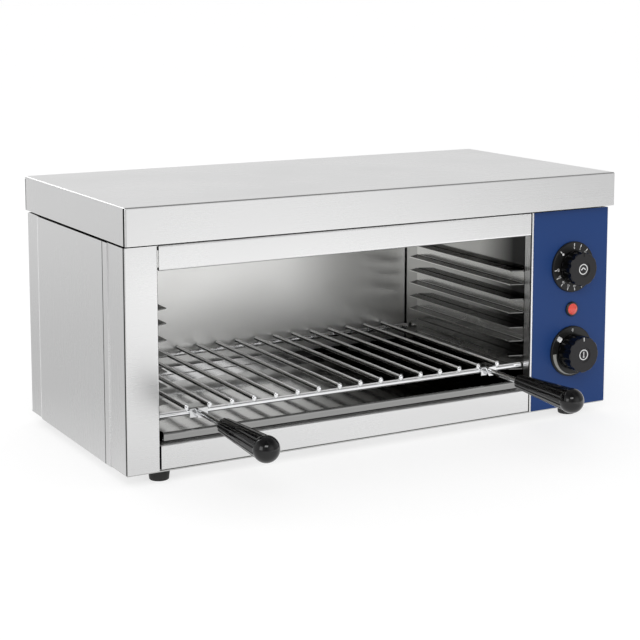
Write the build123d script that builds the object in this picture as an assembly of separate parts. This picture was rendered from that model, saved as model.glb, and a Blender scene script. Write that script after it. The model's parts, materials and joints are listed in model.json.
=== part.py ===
from build123d import *
import os
from math import asin, cos, radians, sin, sqrt

# A countertop cheese melter: an open-fronted stainless body with a lid, a grilling
# chamber with four pairs of rack rails, a wire grid with two handles, a crumb tray,
# two tubular heating elements under the roof, and a control column on the right.
#
# Millimetres. X runs to the right, Y from the front to the back, Z up. While it is
# modelled, X = 0 is the middle of the body, Y = 0 its front face and Z = 0 the
# table. Every piece is then moved back or forward once, so that the origin lies
# under the middle of the whole, handles and cable gland included.

# ---------------------------------------------------------------- driving sizes
# Body and sheet metal
BODY_WIDTH = 610.0
BODY_DEPTH = 289.0
BODY_HEIGHT = 237.0          # underside of the base plate to underside of the lid
SHEET = 1.2                  # stainless sheet
BEND = 2.0                   # radius of a fold along the skin that is drawn
PANEL_GAP = 1.2              # shadow gap at the ends of the header and the sill
LEFT_POST_WIDTH = 37.0
RIGHT_POST_WIDTH = 109.5     # the control column
POST_RETURN = 12.0           # fold of a post back along the chamber's mouth
POST_SIDE = 42.5             # a post's side that stays visible
REAR_SIDE = 36.5             # the rear panel's side that stays visible
COVER_LAP = 12.0             # how far a side cover laps over its neighbours
COVER_FLANGE = 16.0          # fold of a side cover under the base plate
REAR_FLANGE = 24.0           # fold of the rear panel on the base plate
HEADER_HEIGHT = 29.0
SILL_HEIGHT = 28.0
RAIL_FLANGE = 14.0           # depth of the header's and the sill's folds

# Lid
LID_HEIGHT = 39.0
LID_OVERHANG_FRONT = 10.0
LID_OVERHANG_SIDE = 2.0
LID_RETURN = 12.0            # the fold under the lid, measured from the body's skin
LID_GAP = 3.0                # shadow gap between the body's skin and the lid
CORNER_GAP = 2.0             # open slit at each corner of the lid
UPSTAND = 22.0               # rear panel's tongue inside the lid

# Feet
FOOT_HEIGHT = 12.0
FOOT_DIAMETER = 23.0
FOOT_TAPER = 1.2             # how much narrower a foot's tread is, on the radius
FOOT_INSET_SIDE = 42.0
FOOT_INSET_END = 16.0
FOOT_EDGE = 1.0              # rounding of the tread
FOOT_COLLAR = 2.0            # straight rim under the base plate

# Chamber
CHAMBER_BACK_SPACE = 18.0    # chamber's back wall to the body's rear face
BACK_GAP = 1.8               # dark joint between the back wall and each side wall
RUNNER_WIDTH = 28.0          # fold of a side wall that carries the crumb tray
TROUGH_RISE = 8.0            # reflector's trough above each heating element
TROUGH_MARGIN = 13.0         # trough beyond a hanger
TROUGH_SLOPE = 12.0

# Rack rails
RAIL_COUNT = 4
RAIL_PITCH = 33.2
RAIL_HEIGHT = 17.0
RAIL_DEPTH = 17.5
RAIL_FIRST = 49.3            # underside of the body to the underside of the first rail
RAIL_FRONT = 13.0
RAIL_LENGTH = 229.0
RAIL_NOSE = 5.0              # how far a flange's front corner is cut back
RAIL_TAIL = 8.0              # how far its rear corner is cut back

# Grid
ROD_COUNT = 16
ROD_MARGIN = 34.5            # end of a bar to the axis of the outer rod
ROD_DIAMETER = 5.0
ROD_FRONT = 14.0
ROD_BACK_GAP = 2.5           # rod ends to the chamber's back wall
BAR_DIAMETER = 6.0
BAR_FRONT = 17.0             # axis of the front bar
BAR_BACK_GAP = 8.0           # axis of the back bar to the chamber's back wall
BAR_END_GAP = 1.5            # each end of a bar to the web of its rail
REST_LENGTH = 34.0           # angles that carry the back bar
REST_DEPTH = 13.0
REST_HEIGHT = 9.0
WELD_GAP = 0.05              # at pieces that are welded together
REST_CLEARANCE = 0.3         # under pieces that lie or slide on sheet metal

# Handles
HANDLE_ROD_DIAMETER = 6.0
BRACKET_THICKNESS = 2.0
BRACKET_DEPTH = 17.0
BRACKET_DROP = 2.0           # bracket below the bar
NUT_FLATS = 10.0
NUT_HEIGHT = 5.0
GRIP_FRONT = 48.0            # body's front face to the start of a grip
GRIP_LENGTH = 106.0
GRIP_START_DIAMETER = 17.0
GRIP_END_DIAMETER = 25.4
GRIP_DOME_DIAMETER = 27.0
GRIP_RING = 4.7              # smooth ring between the flutes and the dome
GRIP_EDGE = 1.5              # rounding of the grip's front rim
GRIP_BORE_DEPTH = 32.0
GRIP_FLUTES = 12
FLUTE_RADIUS = 2.4
FLUTE_DEPTH = 0.9

# Crumb tray
TRAY_SHEET = 0.8
TRAY_HEIGHT = 9.7
TRAY_FRONT = 7.0
TRAY_BACK_GAP = 7.0
TRAY_SIDE_GAP = 8.2
TRAY_LIP = 4.2               # width of the folded front lip
TRAY_LIP_DROP = 8.2
TRAY_BEND = 1.6

# Heating elements
ELEMENT_DIAMETER = 8.0
ELEMENT_GAP = 72.0           # between the facing legs of the two elements
ELEMENT_STRAIGHT = 6.0       # straight part between a hairpin's two bends
ELEMENT_DROP = 16.0          # lid's underside to an element's axis
ELEMENT_FRONT = 78.0         # body's front face to the front element's middle
ELEMENT_BACK = 71.0          # rear element's middle to the chamber's back wall
ELEMENT_LEFT_GAP = 30.0      # left chamber wall to an element's bend
ELEMENT_TAIL = 22.0          # cold end beyond the right chamber wall
HANGER_MARGIN = 8.0          # hanger beyond a leg's axis
HANGER_EDGE = 7.0            # hanger below an element's axis
HANGER_FLANGE = 12.0
COLLAR_DIAMETER = 15.0
COLLAR_NECK = 11.0
COLLAR_FLANGE = 2.0
COLLAR_LENGTH = 9.0          # neck beyond the chamber wall
COLLAR_NUT_FLATS = 15.0
COLLAR_NUT_HEIGHT = 4.0
BEAD_DIAMETER = 7.0
BEAD_LENGTH = 6.0
STUD_DIAMETER = 3.5
STUD_LENGTH = 12.0           # stud beyond its ceramic bead

# Controls
CONTROL_INSET = 51.0         # right side of the body to the knobs' axis
THERMOSTAT_HEIGHT = 67.3     # underside of the body to the lower axis
CONTROL_PITCH = 100.0
FASCIA_THICKNESS = 0.6
FASCIA_MARGIN = 3.0          # bare steel left beside the chamber's mouth
DIAL_DIAMETER = 59.4
DIAL_THICKNESS = 3.2
DIAL_WALL = 1.1
DIAL_CHAMFER = 0.8
KNOB_GAP = 0.6               # dial to knob
TIMER_KNOB_DIAMETER = 39.5
TIMER_KNOB_DEPTH = 17.5
THERMOSTAT_KNOB_DIAMETER = 42.0
THERMOSTAT_KNOB_DEPTH = 21.5
KNOB_SCALLOPS = 12
SCALLOP_DEPTH = 1.1
KNOB_CHAMFER = 1.0
KNOB_DISH_DIAMETER = 18.0
KNOB_DISH_DEPTH = 0.6
POINTER_WIDTH = 1.6
POINTER_LENGTH = 5.0
SHAFT_DIAMETER = 6.0
SHAFT_FLAT = 1.5             # depth of the flat on a control shaft
SHAFT_IN_KNOB = 11.0
SHAFT_IN_BODY = 12.0
RUNNING_CLEARANCE = 0.05
HOLE_CLEARANCE = 0.3
BODY_SIZE = 44.0             # timer's and thermostat's housings
TIMER_BODY_DEPTH = 34.0
THERMOSTAT_BODY_DEPTH = 30.0
BODY_CORNER = 5.0
MOUNT_PLATE = 1.6
MOUNT_PLATE_WIDTH = 50.0
CONTROL_SCREW_SPACING = 28.0
BLADE_WIDTH = 6.0            # push-on terminals
BLADE_THICKNESS = 0.8
BLADE_LENGTH = 8.0

# Thermostat bulb
BULB_DIAMETER = 6.0
BULB_LENGTH = 90.0
BULB_DROP = 23.0             # lid's underside to the bulb's axis
BULB_BACK_GAP = 15.0         # chamber's back wall to the bulb's axis
BULB_TAIL = 10.0             # bulb beyond the right chamber wall
CAPILLARY_DIAMETER = 1.8
CAPILLARY_BEND = 9.0

# Pilot lamp
LENS_DIAMETER = 13.0
LENS_HEIGHT = 4.6
LENS_EDGE = 2.8              # straight rim below the lens's dome
LAMP_BEZEL_DIAMETER = 17.0
LAMP_BEZEL_HEIGHT = 2.6
LAMP_NECK_DIAMETER = 9.0
LAMP_BODY_DIAMETER = 13.0
LAMP_BODY_LENGTH = 24.0
LAMP_FLANGE = 2.0            # how far the locking flange stands out
LAMP_FLANGE_HEIGHT = 3.0
LAMP_BLADE_WIDTH = 3.2

# Supply side
GLAND_INSET = 52.0           # right side of the body to the gland's axis
GLAND_HEIGHT = 34.0          # underside of the body to the gland's axis
GLAND_THREAD = 16.0
GLAND_FLATS = 22.0
GLAND_FLANGE = 6.0
GLAND_DOME = 12.0
GLAND_DOME_DIAMETER = 20.0
GLAND_DOME_ROUNDING = 4.0
GLAND_TAIL = 9.0
GLAND_NUT_HEIGHT = 4.0
GLAND_BORE = 8.0
BLOCK_LENGTH = 44.0
BLOCK_WIDTH = 22.0
BLOCK_HEIGHT = 18.0
BLOCK_BACK = 70.0            # rear face to the terminal block's middle
BLOCK_POLES = 3
BLOCK_CORNER = 2.0
BLOCK_WIRE_HOLE = 5.8
BLOCK_SCREW_HOLE = 7.3
BLOCK_SCREW_DEPTH = 4.5

# Screws and vents
SCREW_DIAMETER = 4.0
SCREW_HEAD_DIAMETER = 7.6
SCREW_HEAD_HEIGHT = 1.5
SCREW_HEAD_EDGE = 0.5        # straight rim below the head's dome
SCREW_LENGTH = 6.0
LID_SCREW_SPACING = 250.0
COVER_SCREW_SPACING = 150.0
SLOT_LENGTH = 30.0
SLOT_WIDTH = 4.0
SLOT_PITCH = 11.0
SLOT_COUNT = 6
REAR_SLOT_RISE = 96.0        # underside of the body to the lower row of rear slots
REAR_SLOT_PITCH = 60.0
LOUVRE_COUNT = 7
LOUVRE_LENGTH = 70.0
LOUVRE_PITCH = 14.0
LOUVRE_HEIGHT = 6.0
LOUVRE_DEPTH = 3.0
LOUVRE_SHEET = 0.8           # the sheet is drawn thinner in a louvre
LOUVRE_RISE = 70.0           # underside of the body to the lowest louvre

# ---------------------------------------------------------------- derived places
HALF = BODY_WIDTH / 2
BODY_BOTTOM = FOOT_HEIGHT
SKIN_BOTTOM = BODY_BOTTOM + SHEET            # posts and panels stand on the base plate
LID_BOTTOM = BODY_BOTTOM + BODY_HEIGHT
LID_TOP = LID_BOTTOM + LID_HEIGHT
SKIN_TOP = LID_BOTTOM - LID_GAP
FLOOR = BODY_BOTTOM + SILL_HEIGHT            # level of the sill and the tray runners
ROOF = LID_BOTTOM - SHEET                    # underside of the reflector
OPEN_LEFT = -HALF + LEFT_POST_WIDTH
OPEN_RIGHT = HALF - RIGHT_POST_WIDTH
WALL_LEFT = OPEN_LEFT - SHEET                # chamber faces of the side walls
WALL_RIGHT = OPEN_RIGHT + SHEET
CHAMBER_MIDDLE = (WALL_LEFT + WALL_RIGHT) / 2
REAR_INSIDE = BODY_DEPTH - SHEET
CHAMBER_DEPTH = BODY_DEPTH - CHAMBER_BACK_SPACE
BAR_LEFT = WALL_LEFT + SHEET + BAR_END_GAP
BAR_RIGHT = WALL_RIGHT - SHEET - BAR_END_GAP
ROD_PITCH = (BAR_RIGHT - BAR_LEFT - 2 * ROD_MARGIN) / (ROD_COUNT - 1)
BAR_HEIGHT = BODY_BOTTOM + RAIL_FIRST + SHEET + REST_CLEARANCE + BAR_DIAMETER / 2
BAR_BACK = CHAMBER_DEPTH - BAR_BACK_GAP
ROD_HEIGHT = BAR_HEIGHT + BAR_DIAMETER / 2 + WELD_GAP + ROD_DIAMETER / 2
HANDLE_OFFSET = (ROD_COUNT / 2 - 1) * ROD_PITCH   # handles sit between the outer two rods
BRACKET_FRONT = BAR_FRONT - BAR_DIAMETER / 2 - WELD_GAP - BRACKET_THICKNESS
GRIP_TIP = -GRIP_FRONT - GRIP_LENGTH
CONTROL_X = HALF - CONTROL_INSET
THERMOSTAT_Z = BODY_BOTTOM + THERMOSTAT_HEIGHT
TIMER_Z = THERMOSTAT_Z + CONTROL_PITCH
LAMP_Z = THERMOSTAT_Z + CONTROL_PITCH / 2
FASCIA_FACE = -FASCIA_THICKNESS
DIAL_FACE = FASCIA_FACE - DIAL_THICKNESS
ELEMENT_HEIGHT = LID_BOTTOM - ELEMENT_DROP
ELEMENT_MIDDLES = [ELEMENT_FRONT, CHAMBER_DEPTH - ELEMENT_BACK]
ELEMENT_SPREAD = ELEMENT_MIDDLES[1] - ELEMENT_MIDDLES[0] - ELEMENT_GAP
ELEMENT_BEND = (ELEMENT_SPREAD - ELEMENT_STRAIGHT) / 2
HANGER_WIDTH = ELEMENT_SPREAD + 2 * HANGER_MARGIN
TROUGH_WIDTH = HANGER_WIDTH + 2 * TROUGH_MARGIN
ELEMENT_LEFT = WALL_LEFT + ELEMENT_LEFT_GAP
ELEMENT_RIGHT = WALL_RIGHT + ELEMENT_TAIL
ELEMENT_LEGS = [middle + side * ELEMENT_SPREAD / 2
                for middle in ELEMENT_MIDDLES for side in (-1, 1)]
BULB_HEIGHT = LID_BOTTOM - BULB_DROP
BULB_Y = CHAMBER_DEPTH - BULB_BACK_GAP
GLAND_X = HALF - GLAND_INSET
GLAND_Z = BODY_BOTTOM + GLAND_HEIGHT
GLAND_END = BODY_DEPTH + GLAND_FLANGE + GLAND_DOME
ORIGIN_Y = (GRIP_TIP + GLAND_END) / 2

LOW = (Align.CENTER, Align.CENTER, Align.MIN)


# ---------------------------------------------------------------- helpers
def along_x(face, start, end):
    """Draws a face with its outline in (y, z) out along X."""
    return extrude(Plane.YZ.offset(start) * face, amount=end - start, dir=(1, 0, 0))


def along_y(face, start, end):
    """Draws a face with its outline in (x, z) out along Y."""
    return extrude(Plane.XZ.offset(-start) * face, amount=end - start, dir=(0, 1, 0))


def along_z(face, start, end):
    """Draws a face with its outline in (x, y) out along Z."""
    return extrude(Plane.XY.offset(start) * face, amount=end - start, dir=(0, 0, 1))


def folded(points, metal, thickness=SHEET, bend=BEND):
    """Section of a folded sheet: its skin runs through the points, the metal lies to one side."""
    skin = FilletPolyline(*points, radius=bend)
    return Face(skin.offset_2d(thickness, kind=Kind.ARC, side=metal))


def block(low, high):
    """A rectangular block between two corners."""
    size = [b - a for a, b in zip(low, high)]
    middle = [(a + b) / 2 for a, b in zip(low, high)]
    return Pos(*middle) * Box(*size)


def rod_x(radius, start, end, y, z):
    return Plane((start, y, z), z_dir=(1, 0, 0)) * Cylinder(radius, end - start, align=LOW)


def rod_y(radius, start, end, x, z):
    return Plane((x, start, z), z_dir=(0, 1, 0)) * Cylinder(radius, end - start, align=LOW)


def rod_z(radius, start, end, x, y):
    return Pos(x, y, start) * Cylinder(radius, end - start, align=LOW)


def hexagon_y(flats, start, end, x, z):
    """Hexagonal prism along Y with two flats level."""
    outline = RegularPolygon(flats / 2, 6, major_radius=False, rotation=30)
    return Plane((x, start, z), z_dir=(0, 1, 0)) * extrude(outline, amount=end - start)


def hexagon_x(flats, start, end, y, z):
    outline = RegularPolygon(flats / 2, 6, major_radius=False)
    return Plane((start, y, z), z_dir=(1, 0, 0)) * extrude(outline, amount=end - start)


def mirrored(piece, middle):
    """The same piece on the other side of the plane X = middle."""
    return mirror(piece, about=Plane.YZ.offset(middle))


def dome(radius, low, high):
    """Arc of an outline from (radius, low) up to the axis at (0, high)."""
    rise = high - low
    ball = (radius ** 2 + rise ** 2) / (2 * rise)
    half_angle = asin(min(1.0, radius / ball)) / 2
    middle = (ball * sin(half_angle), high - ball * (1 - cos(half_angle)))
    return ThreePointArc((radius, low), middle, (0, high))


def quarter(start, corner, end):
    """Quarter circle that rounds a square corner between two points."""
    centre = Vector(start) + Vector(end) - Vector(corner)
    middle = centre + (Vector(corner) - centre) / sqrt(2)
    return ThreePointArc(start, middle, end)


def turned(outline, place):
    """Solid of revolution: outline in (radius, height) about the Z axis of a place."""
    return place * revolve(Plane.XZ * make_face(outline), axis=Axis.Z)


# ---------------------------------------------------------------- where the screws go
def lid_screw_places():
    """Through the lid's back into the rear panel's tongue."""
    height = LID_BOTTOM + UPSTAND / 2
    return [Plane((x, BODY_DEPTH + SHEET, height), z_dir=(0, 1, 0))
            for x in (-LID_SCREW_SPACING, 0, LID_SCREW_SPACING)]


def cover_screw_places():
    """Up through a side cover's lower fold into the base plate."""
    middle = (POST_SIDE + BODY_DEPTH - REAR_SIDE) / 2
    offset = HALF - COVER_FLANGE / 2
    return [Plane((side * offset, middle + end * COVER_SCREW_SPACING / 2, BODY_BOTTOM - SHEET),
                  z_dir=(0, 0, -1))
            for side in (-1, 1) for end in (-1, 1)]


def control_screw_places():
    """Through the control column into the mounting plates, hidden by the dials."""
    offset = CONTROL_SCREW_SPACING / 2
    return [Plane((CONTROL_X + side * offset, FASCIA_FACE, z), z_dir=(0, -1, 0))
            for z in (THERMOSTAT_Z, TIMER_Z) for side in (-1, 1)]


def foot_places():
    return [(x, y) for x in (-HALF + FOOT_INSET_SIDE, HALF - FOOT_INSET_SIDE)
            for y in (FOOT_INSET_END, BODY_DEPTH - FOOT_INSET_END)]


def screw(place, length=SCREW_LENGTH):
    """Pan-head screw: the head stands on the place, the shank points into it."""
    radius = SCREW_HEAD_DIAMETER / 2
    outline = [Line((0, -length), (SCREW_DIAMETER / 2, -length)),
               Line((SCREW_DIAMETER / 2, -length), (SCREW_DIAMETER / 2, 0)),
               Line((SCREW_DIAMETER / 2, 0), (radius, 0)),
               Line((radius, 0), (radius, SCREW_HEAD_EDGE)),
               dome(radius, SCREW_HEAD_EDGE, SCREW_HEAD_HEIGHT),
               Line((0, SCREW_HEAD_HEIGHT), (0, -length))]
    return turned(outline, Location(place))


def foot_screw_holes():
    radius = SCREW_DIAMETER / 2 + RUNNING_CLEARANCE
    return [rod_z(radius, 0, FLOOR, x, y) for x, y in foot_places()]


def screw_holes(places):
    radius = SCREW_DIAMETER / 2 + RUNNING_CLEARANCE
    return [Location(place) * Cylinder(radius, 4 * SCREW_LENGTH) for place in places]


# ---------------------------------------------------------------- outer skin
def top_cover():
    """Lid folded as an upside-down pan with open corners; a lip under it rests on the body."""
    left = HALF + LID_OVERHANG_SIDE
    front = -LID_OVERHANG_FRONT
    back = BODY_DEPTH + SHEET
    shell = block((-left, front, LID_BOTTOM), (left, back, LID_TOP))
    shell = fillet(shell.edges().filter_by(Axis.Z) + shell.edges().group_by(Axis.Z)[-1], BEND)
    hollow = block((-left + SHEET, front + SHEET, LID_BOTTOM + SHEET),
                   (left - SHEET, back - SHEET, LID_TOP - SHEET))
    hollow = fillet(hollow.edges().filter_by(Axis.Z) + hollow.edges().group_by(Axis.Z)[-1], BEND - SHEET)
    inner = HALF - LID_RETURN
    lip = block((-inner - SHEET, LID_RETURN - SHEET, SKIN_TOP),
                (inner + SHEET, BODY_DEPTH, LID_BOTTOM + SHEET))
    mouth = block((-inner, LID_RETURN, SKIN_TOP - SHEET), (inner, BODY_DEPTH, LID_TOP - 2 * SHEET))
    lid = shell - hollow + lip - mouth
    for y in (front + BEND, back - BEND - CORNER_GAP):
        lid -= block((-left - SHEET, y, LID_BOTTOM - SHEET),
                     (-left + SHEET, y + CORNER_GAP, LID_TOP - BEND - SHEET))
        lid -= block((left - SHEET, y, LID_BOTTOM - SHEET),
                     (left + SHEET, y + CORNER_GAP, LID_TOP - BEND - SHEET))
    return lid - screw_holes(lid_screw_places())


def left_front_post():
    section = folded([(OPEN_LEFT, POST_RETURN), (OPEN_LEFT, 0),
                      (-HALF, 0), (-HALF, POST_SIDE + COVER_LAP)], Side.RIGHT)
    return along_z(section, SKIN_BOTTOM, SKIN_TOP)


def right_front_post():
    """Control column, with the holes for shafts, lamp and screws."""
    section = folded([(OPEN_RIGHT, POST_RETURN), (OPEN_RIGHT, 0),
                      (HALF, 0), (HALF, POST_SIDE + COVER_LAP)], Side.LEFT)
    return along_z(section, SKIN_BOTTOM, SKIN_TOP) - control_holes()


def control_holes():
    shaft = SHAFT_DIAMETER / 2 + HOLE_CLEARANCE
    neck = LAMP_NECK_DIAMETER / 2 + RUNNING_CLEARANCE
    reach = DIAL_THICKNESS + 2 * SHEET
    holes = [rod_y(shaft, -reach, reach, CONTROL_X, z) for z in (THERMOSTAT_Z, TIMER_Z)]
    holes.append(rod_y(neck, -reach, reach, CONTROL_X, LAMP_Z))
    return holes + screw_holes(control_screw_places())


def control_fascia():
    """Coloured plate on the control column."""
    plate = block((OPEN_RIGHT + FASCIA_MARGIN, FASCIA_FACE, SKIN_BOTTOM), (HALF, 0, SKIN_TOP))
    return plate - control_holes()


def side_cover():
    """Left side panel: stands proud of the posts and folds in under the base plate."""
    outside = -HALF - SHEET
    below = BODY_BOTTOM - SHEET
    section = folded([(outside, SKIN_TOP), (outside, below), (-HALF + COVER_FLANGE, below)], Side.LEFT)
    return along_y(section, POST_SIDE, BODY_DEPTH - REAR_SIDE) - screw_holes(cover_screw_places())


def louvre_shape(inset, skin, z):
    """Section of a louvre's hood, or of the hollow in it: a flat foot and a curved back."""
    reach = HALF - LOUVRE_DEPTH + inset
    top = z + LOUVRE_HEIGHT - inset
    bow = (reach + (top - z) / 10, z + (top - z) * 2 / 3)
    return make_face([Line((skin, z), (reach, z)), ThreePointArc((reach, z), bow, (HALF, top)),
                      Line((HALF, top), (skin, top)), Line((skin, top), (skin, z))])


def louvre(z):
    """Air slit pressed into the right side: an inward hood that is open along its foot."""
    start = (POST_SIDE + BODY_DEPTH - REAR_SIDE - LOUVRE_LENGTH) / 2
    end = start + LOUVRE_LENGTH
    hood = along_y(louvre_shape(0, HALF + SHEET / 2, z), start, end)
    inside = louvre_shape(LOUVRE_SHEET, HALF + 2 * SHEET, z)
    return hood, along_y(inside, start + LOUVRE_SHEET, end - LOUVRE_SHEET)


def right_side_cover():
    """Right side panel, with louvres beside the electrical compartment."""
    cover = mirrored(side_cover(), 0)
    for row in range(LOUVRE_COUNT):
        hood, hollow = louvre(BODY_BOTTOM + LOUVRE_RISE + row * LOUVRE_PITCH)
        cover = cover + hood - hollow
    return cover


def vent_slots(place):
    """A row of parallel slots round a place, cut right through."""
    slots = []
    for index in range(SLOT_COUNT):
        shift = (index - (SLOT_COUNT - 1) / 2) * SLOT_PITCH
        outline = SlotOverall(SLOT_LENGTH, SLOT_WIDTH, rotation=90)
        slots.append(place * Pos(shift, 0, 0) * extrude(outline, amount=2 * SHEET, both=True))
    return slots


def rear_panel():
    """Back of the body, folded round both rear corners and down onto the base plate."""
    reach = BODY_DEPTH - REAR_SIDE - COVER_LAP
    section = folded([(-HALF, reach), (-HALF, BODY_DEPTH),
                      (HALF, BODY_DEPTH), (HALF, reach)], Side.RIGHT)
    panel = along_z(section, SKIN_BOTTOM, SKIN_TOP)
    inset = HALF - LID_RETURN - SHEET
    panel += block((-inset, REAR_INSIDE, SKIN_TOP), (inset, BODY_DEPTH, LID_BOTTOM + UPSTAND))
    panel += block((-inset, REAR_INSIDE - REAR_FLANGE, SKIN_BOTTOM),
                   (inset, REAR_INSIDE, SKIN_BOTTOM + SHEET))
    panel -= foot_screw_holes()
    for row in range(2):
        height = BODY_BOTTOM + REAR_SLOT_RISE + row * REAR_SLOT_PITCH
        place = Plane((GLAND_X, BODY_DEPTH, height), x_dir=(1, 0, 0), z_dir=(0, -1, 0))
        panel -= vent_slots(Location(place))
    thread = GLAND_THREAD / 2 + RUNNING_CLEARANCE
    panel -= rod_y(thread, REAR_INSIDE - SHEET, BODY_DEPTH + SHEET, GLAND_X, GLAND_Z)
    return panel - screw_holes(lid_screw_places())


def base_plate():
    """Bottom of the body, with feet holes and air slots under the electrical compartment."""
    plate = block((-HALF, 0, BODY_BOTTOM), (HALF, BODY_DEPTH, SKIN_BOTTOM))
    under = plate.edges().group_by(Axis.Z)[0].filter_by(Axis.Y)
    plate = fillet(under, BEND - SHEET)
    plate -= vent_slots(Location(Plane((CONTROL_X, BODY_DEPTH / 2, BODY_BOTTOM))))
    plate -= screw_holes(cover_screw_places())
    return plate - foot_screw_holes()


def cross_rail(low, high):
    """Folded strip across the chamber's mouth, with a shadow gap at each end of its face."""
    section = folded([(RAIL_FLANGE, low), (0, low), (0, high), (RAIL_FLANGE, high)], Side.RIGHT)
    rail = along_x(section, OPEN_LEFT, OPEN_RIGHT)
    for x in (OPEN_LEFT, OPEN_RIGHT - PANEL_GAP):
        rail -= block((x, 0, low), (x + PANEL_GAP, BEND, high))
    return rail


def sill():
    """Lower cross rail; the front feet's screws pass its lower fold."""
    return cross_rail(SKIN_BOTTOM, FLOOR) - foot_screw_holes()


# ---------------------------------------------------------------- chamber
def left_liner():
    """Left chamber wall, folded in at the bottom as a runner for the crumb tray.

    Its front stops short of the lid's lip above and of the sill's fold below.
    """
    outside = WALL_LEFT - SHEET
    below = FLOOR - SHEET
    section = folded([(outside, ROOF), (outside, below), (outside + RUNNER_WIDTH, below)], Side.LEFT)
    wall = along_y(section, 2 * SHEET, REAR_INSIDE)
    wall -= block((outside, 0, SKIN_TOP), (WALL_LEFT, RAIL_FLANGE, ROOF))
    return wall - block((WALL_LEFT, 0, below), (outside + RUNNER_WIDTH, RAIL_FLANGE, FLOOR + BEND))


def right_liner():
    """Right chamber wall: the same, with holes for the elements and the bulb."""
    wall = mirrored(left_liner(), CHAMBER_MIDDLE)
    near = WALL_RIGHT - SHEET
    far = WALL_RIGHT + 2 * SHEET
    for y in ELEMENT_LEGS:
        wall -= rod_x(COLLAR_NECK / 2 + RUNNING_CLEARANCE, near, far, y, ELEMENT_HEIGHT)
    return wall - rod_x(BULB_DIAMETER / 2 + RUNNING_CLEARANCE, near, far, BULB_Y, BULB_HEIGHT)


def chamber_back():
    """Back wall of the chamber, folded back at top and bottom to the rear panel."""
    section = folded([(REAR_INSIDE, FLOOR), (CHAMBER_DEPTH, FLOOR),
                      (CHAMBER_DEPTH, ROOF), (REAR_INSIDE, ROOF)], Side.RIGHT)
    return along_x(section, WALL_LEFT + BACK_GAP, WALL_RIGHT - BACK_GAP)


def reflector():
    """Roof of the chamber: one sheet with a raised trough over each element."""
    line = [(RAIL_FLANGE, ROOF)]
    for middle in ELEMENT_MIDDLES:
        line += [(middle - TROUGH_WIDTH / 2, ROOF),
                 (middle - TROUGH_WIDTH / 2 + TROUGH_SLOPE, ROOF + TROUGH_RISE),
                 (middle + TROUGH_WIDTH / 2 - TROUGH_SLOPE, ROOF + TROUGH_RISE),
                 (middle + TROUGH_WIDTH / 2, ROOF)]
    line.append((REAR_INSIDE, ROOF))
    return along_x(folded(line, Side.LEFT), WALL_LEFT - SHEET, WALL_RIGHT + SHEET)


def rack_rail(level):
    """Channel on the left wall that is open towards the chamber, with its corners cut back."""
    low = BODY_BOTTOM + RAIL_FIRST + level * RAIL_PITCH
    high = low + RAIL_HEIGHT
    tip = WALL_LEFT + RAIL_DEPTH
    back = RAIL_FRONT + RAIL_LENGTH
    section = folded([(tip, high), (WALL_LEFT, high), (WALL_LEFT, low), (tip, low)], Side.LEFT)
    rail = along_y(section, RAIL_FRONT, back)
    root = WALL_LEFT + BEND
    for end, cut in ((RAIL_FRONT, RAIL_NOSE), (back, -RAIL_TAIL)):
        corner = make_face(Polyline((root, end), (tip, end), (tip, end + cut), close=True))
        rail -= along_z(corner, low, high)
    return rail


# ---------------------------------------------------------------- grid and handles
def grid_bar(y):
    return rod_x(BAR_DIAMETER / 2, BAR_LEFT, BAR_RIGHT, y, BAR_HEIGHT)


def grid_rods():
    """Rods welded across the two bars."""
    first = BAR_LEFT + ROD_MARGIN
    back = CHAMBER_DEPTH - ROD_BACK_GAP
    rods = [rod_y(ROD_DIAMETER / 2, ROD_FRONT, back, first + index * ROD_PITCH, ROD_HEIGHT)
            for index in range(ROD_COUNT)]
    return Compound(children=rods)


def grid_rests():
    """Two angles on the chamber's back wall that carry the grid's back bar."""
    top = BAR_HEIGHT - BAR_DIAMETER / 2 - REST_CLEARANCE
    section = folded([(CHAMBER_DEPTH - REST_DEPTH, top), (CHAMBER_DEPTH, top),
                      (CHAMBER_DEPTH, top - REST_HEIGHT)], Side.RIGHT)
    start = WALL_LEFT + RAIL_DEPTH
    left = along_x(section, start, start + REST_LENGTH)
    return Compound(children=[left, mirrored(left, CHAMBER_MIDDLE)])


def handle_bracket(x):
    """Angle welded on the front bar between two rods, with a hole for the handle's rod."""
    width = ROD_PITCH - ROD_DIAMETER - 2 * REST_CLEARANCE
    top = BAR_HEIGHT + BAR_DIAMETER / 2 + WELD_GAP + BRACKET_THICKNESS
    low = BAR_HEIGHT - BAR_DIAMETER / 2 - BRACKET_DROP
    section = folded([(BRACKET_FRONT, low), (BRACKET_FRONT, top),
                      (BRACKET_FRONT + BRACKET_DEPTH, top)],
                     Side.RIGHT, BRACKET_THICKNESS, BRACKET_THICKNESS + RUNNING_CLEARANCE)
    bore = HANDLE_ROD_DIAMETER / 2 + RUNNING_CLEARANCE
    hole = rod_y(bore, BRACKET_FRONT - SHEET, BAR_FRONT, x, BAR_HEIGHT)
    return along_x(section, x - width / 2, x + width / 2) - hole


def handle_nut(x):
    nut = hexagon_y(NUT_FLATS, BRACKET_FRONT - NUT_HEIGHT, BRACKET_FRONT, x, BAR_HEIGHT)
    bore = HANDLE_ROD_DIAMETER / 2 + RUNNING_CLEARANCE
    return nut - rod_y(bore, BRACKET_FRONT - 2 * NUT_HEIGHT, BAR_FRONT, x, BAR_HEIGHT)


def handle_rod(x):
    back = BRACKET_FRONT + BRACKET_THICKNESS
    front = -GRIP_FRONT - GRIP_BORE_DEPTH + REST_CLEARANCE
    return rod_y(HANDLE_ROD_DIAMETER / 2, front, back, x, BAR_HEIGHT)


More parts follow.
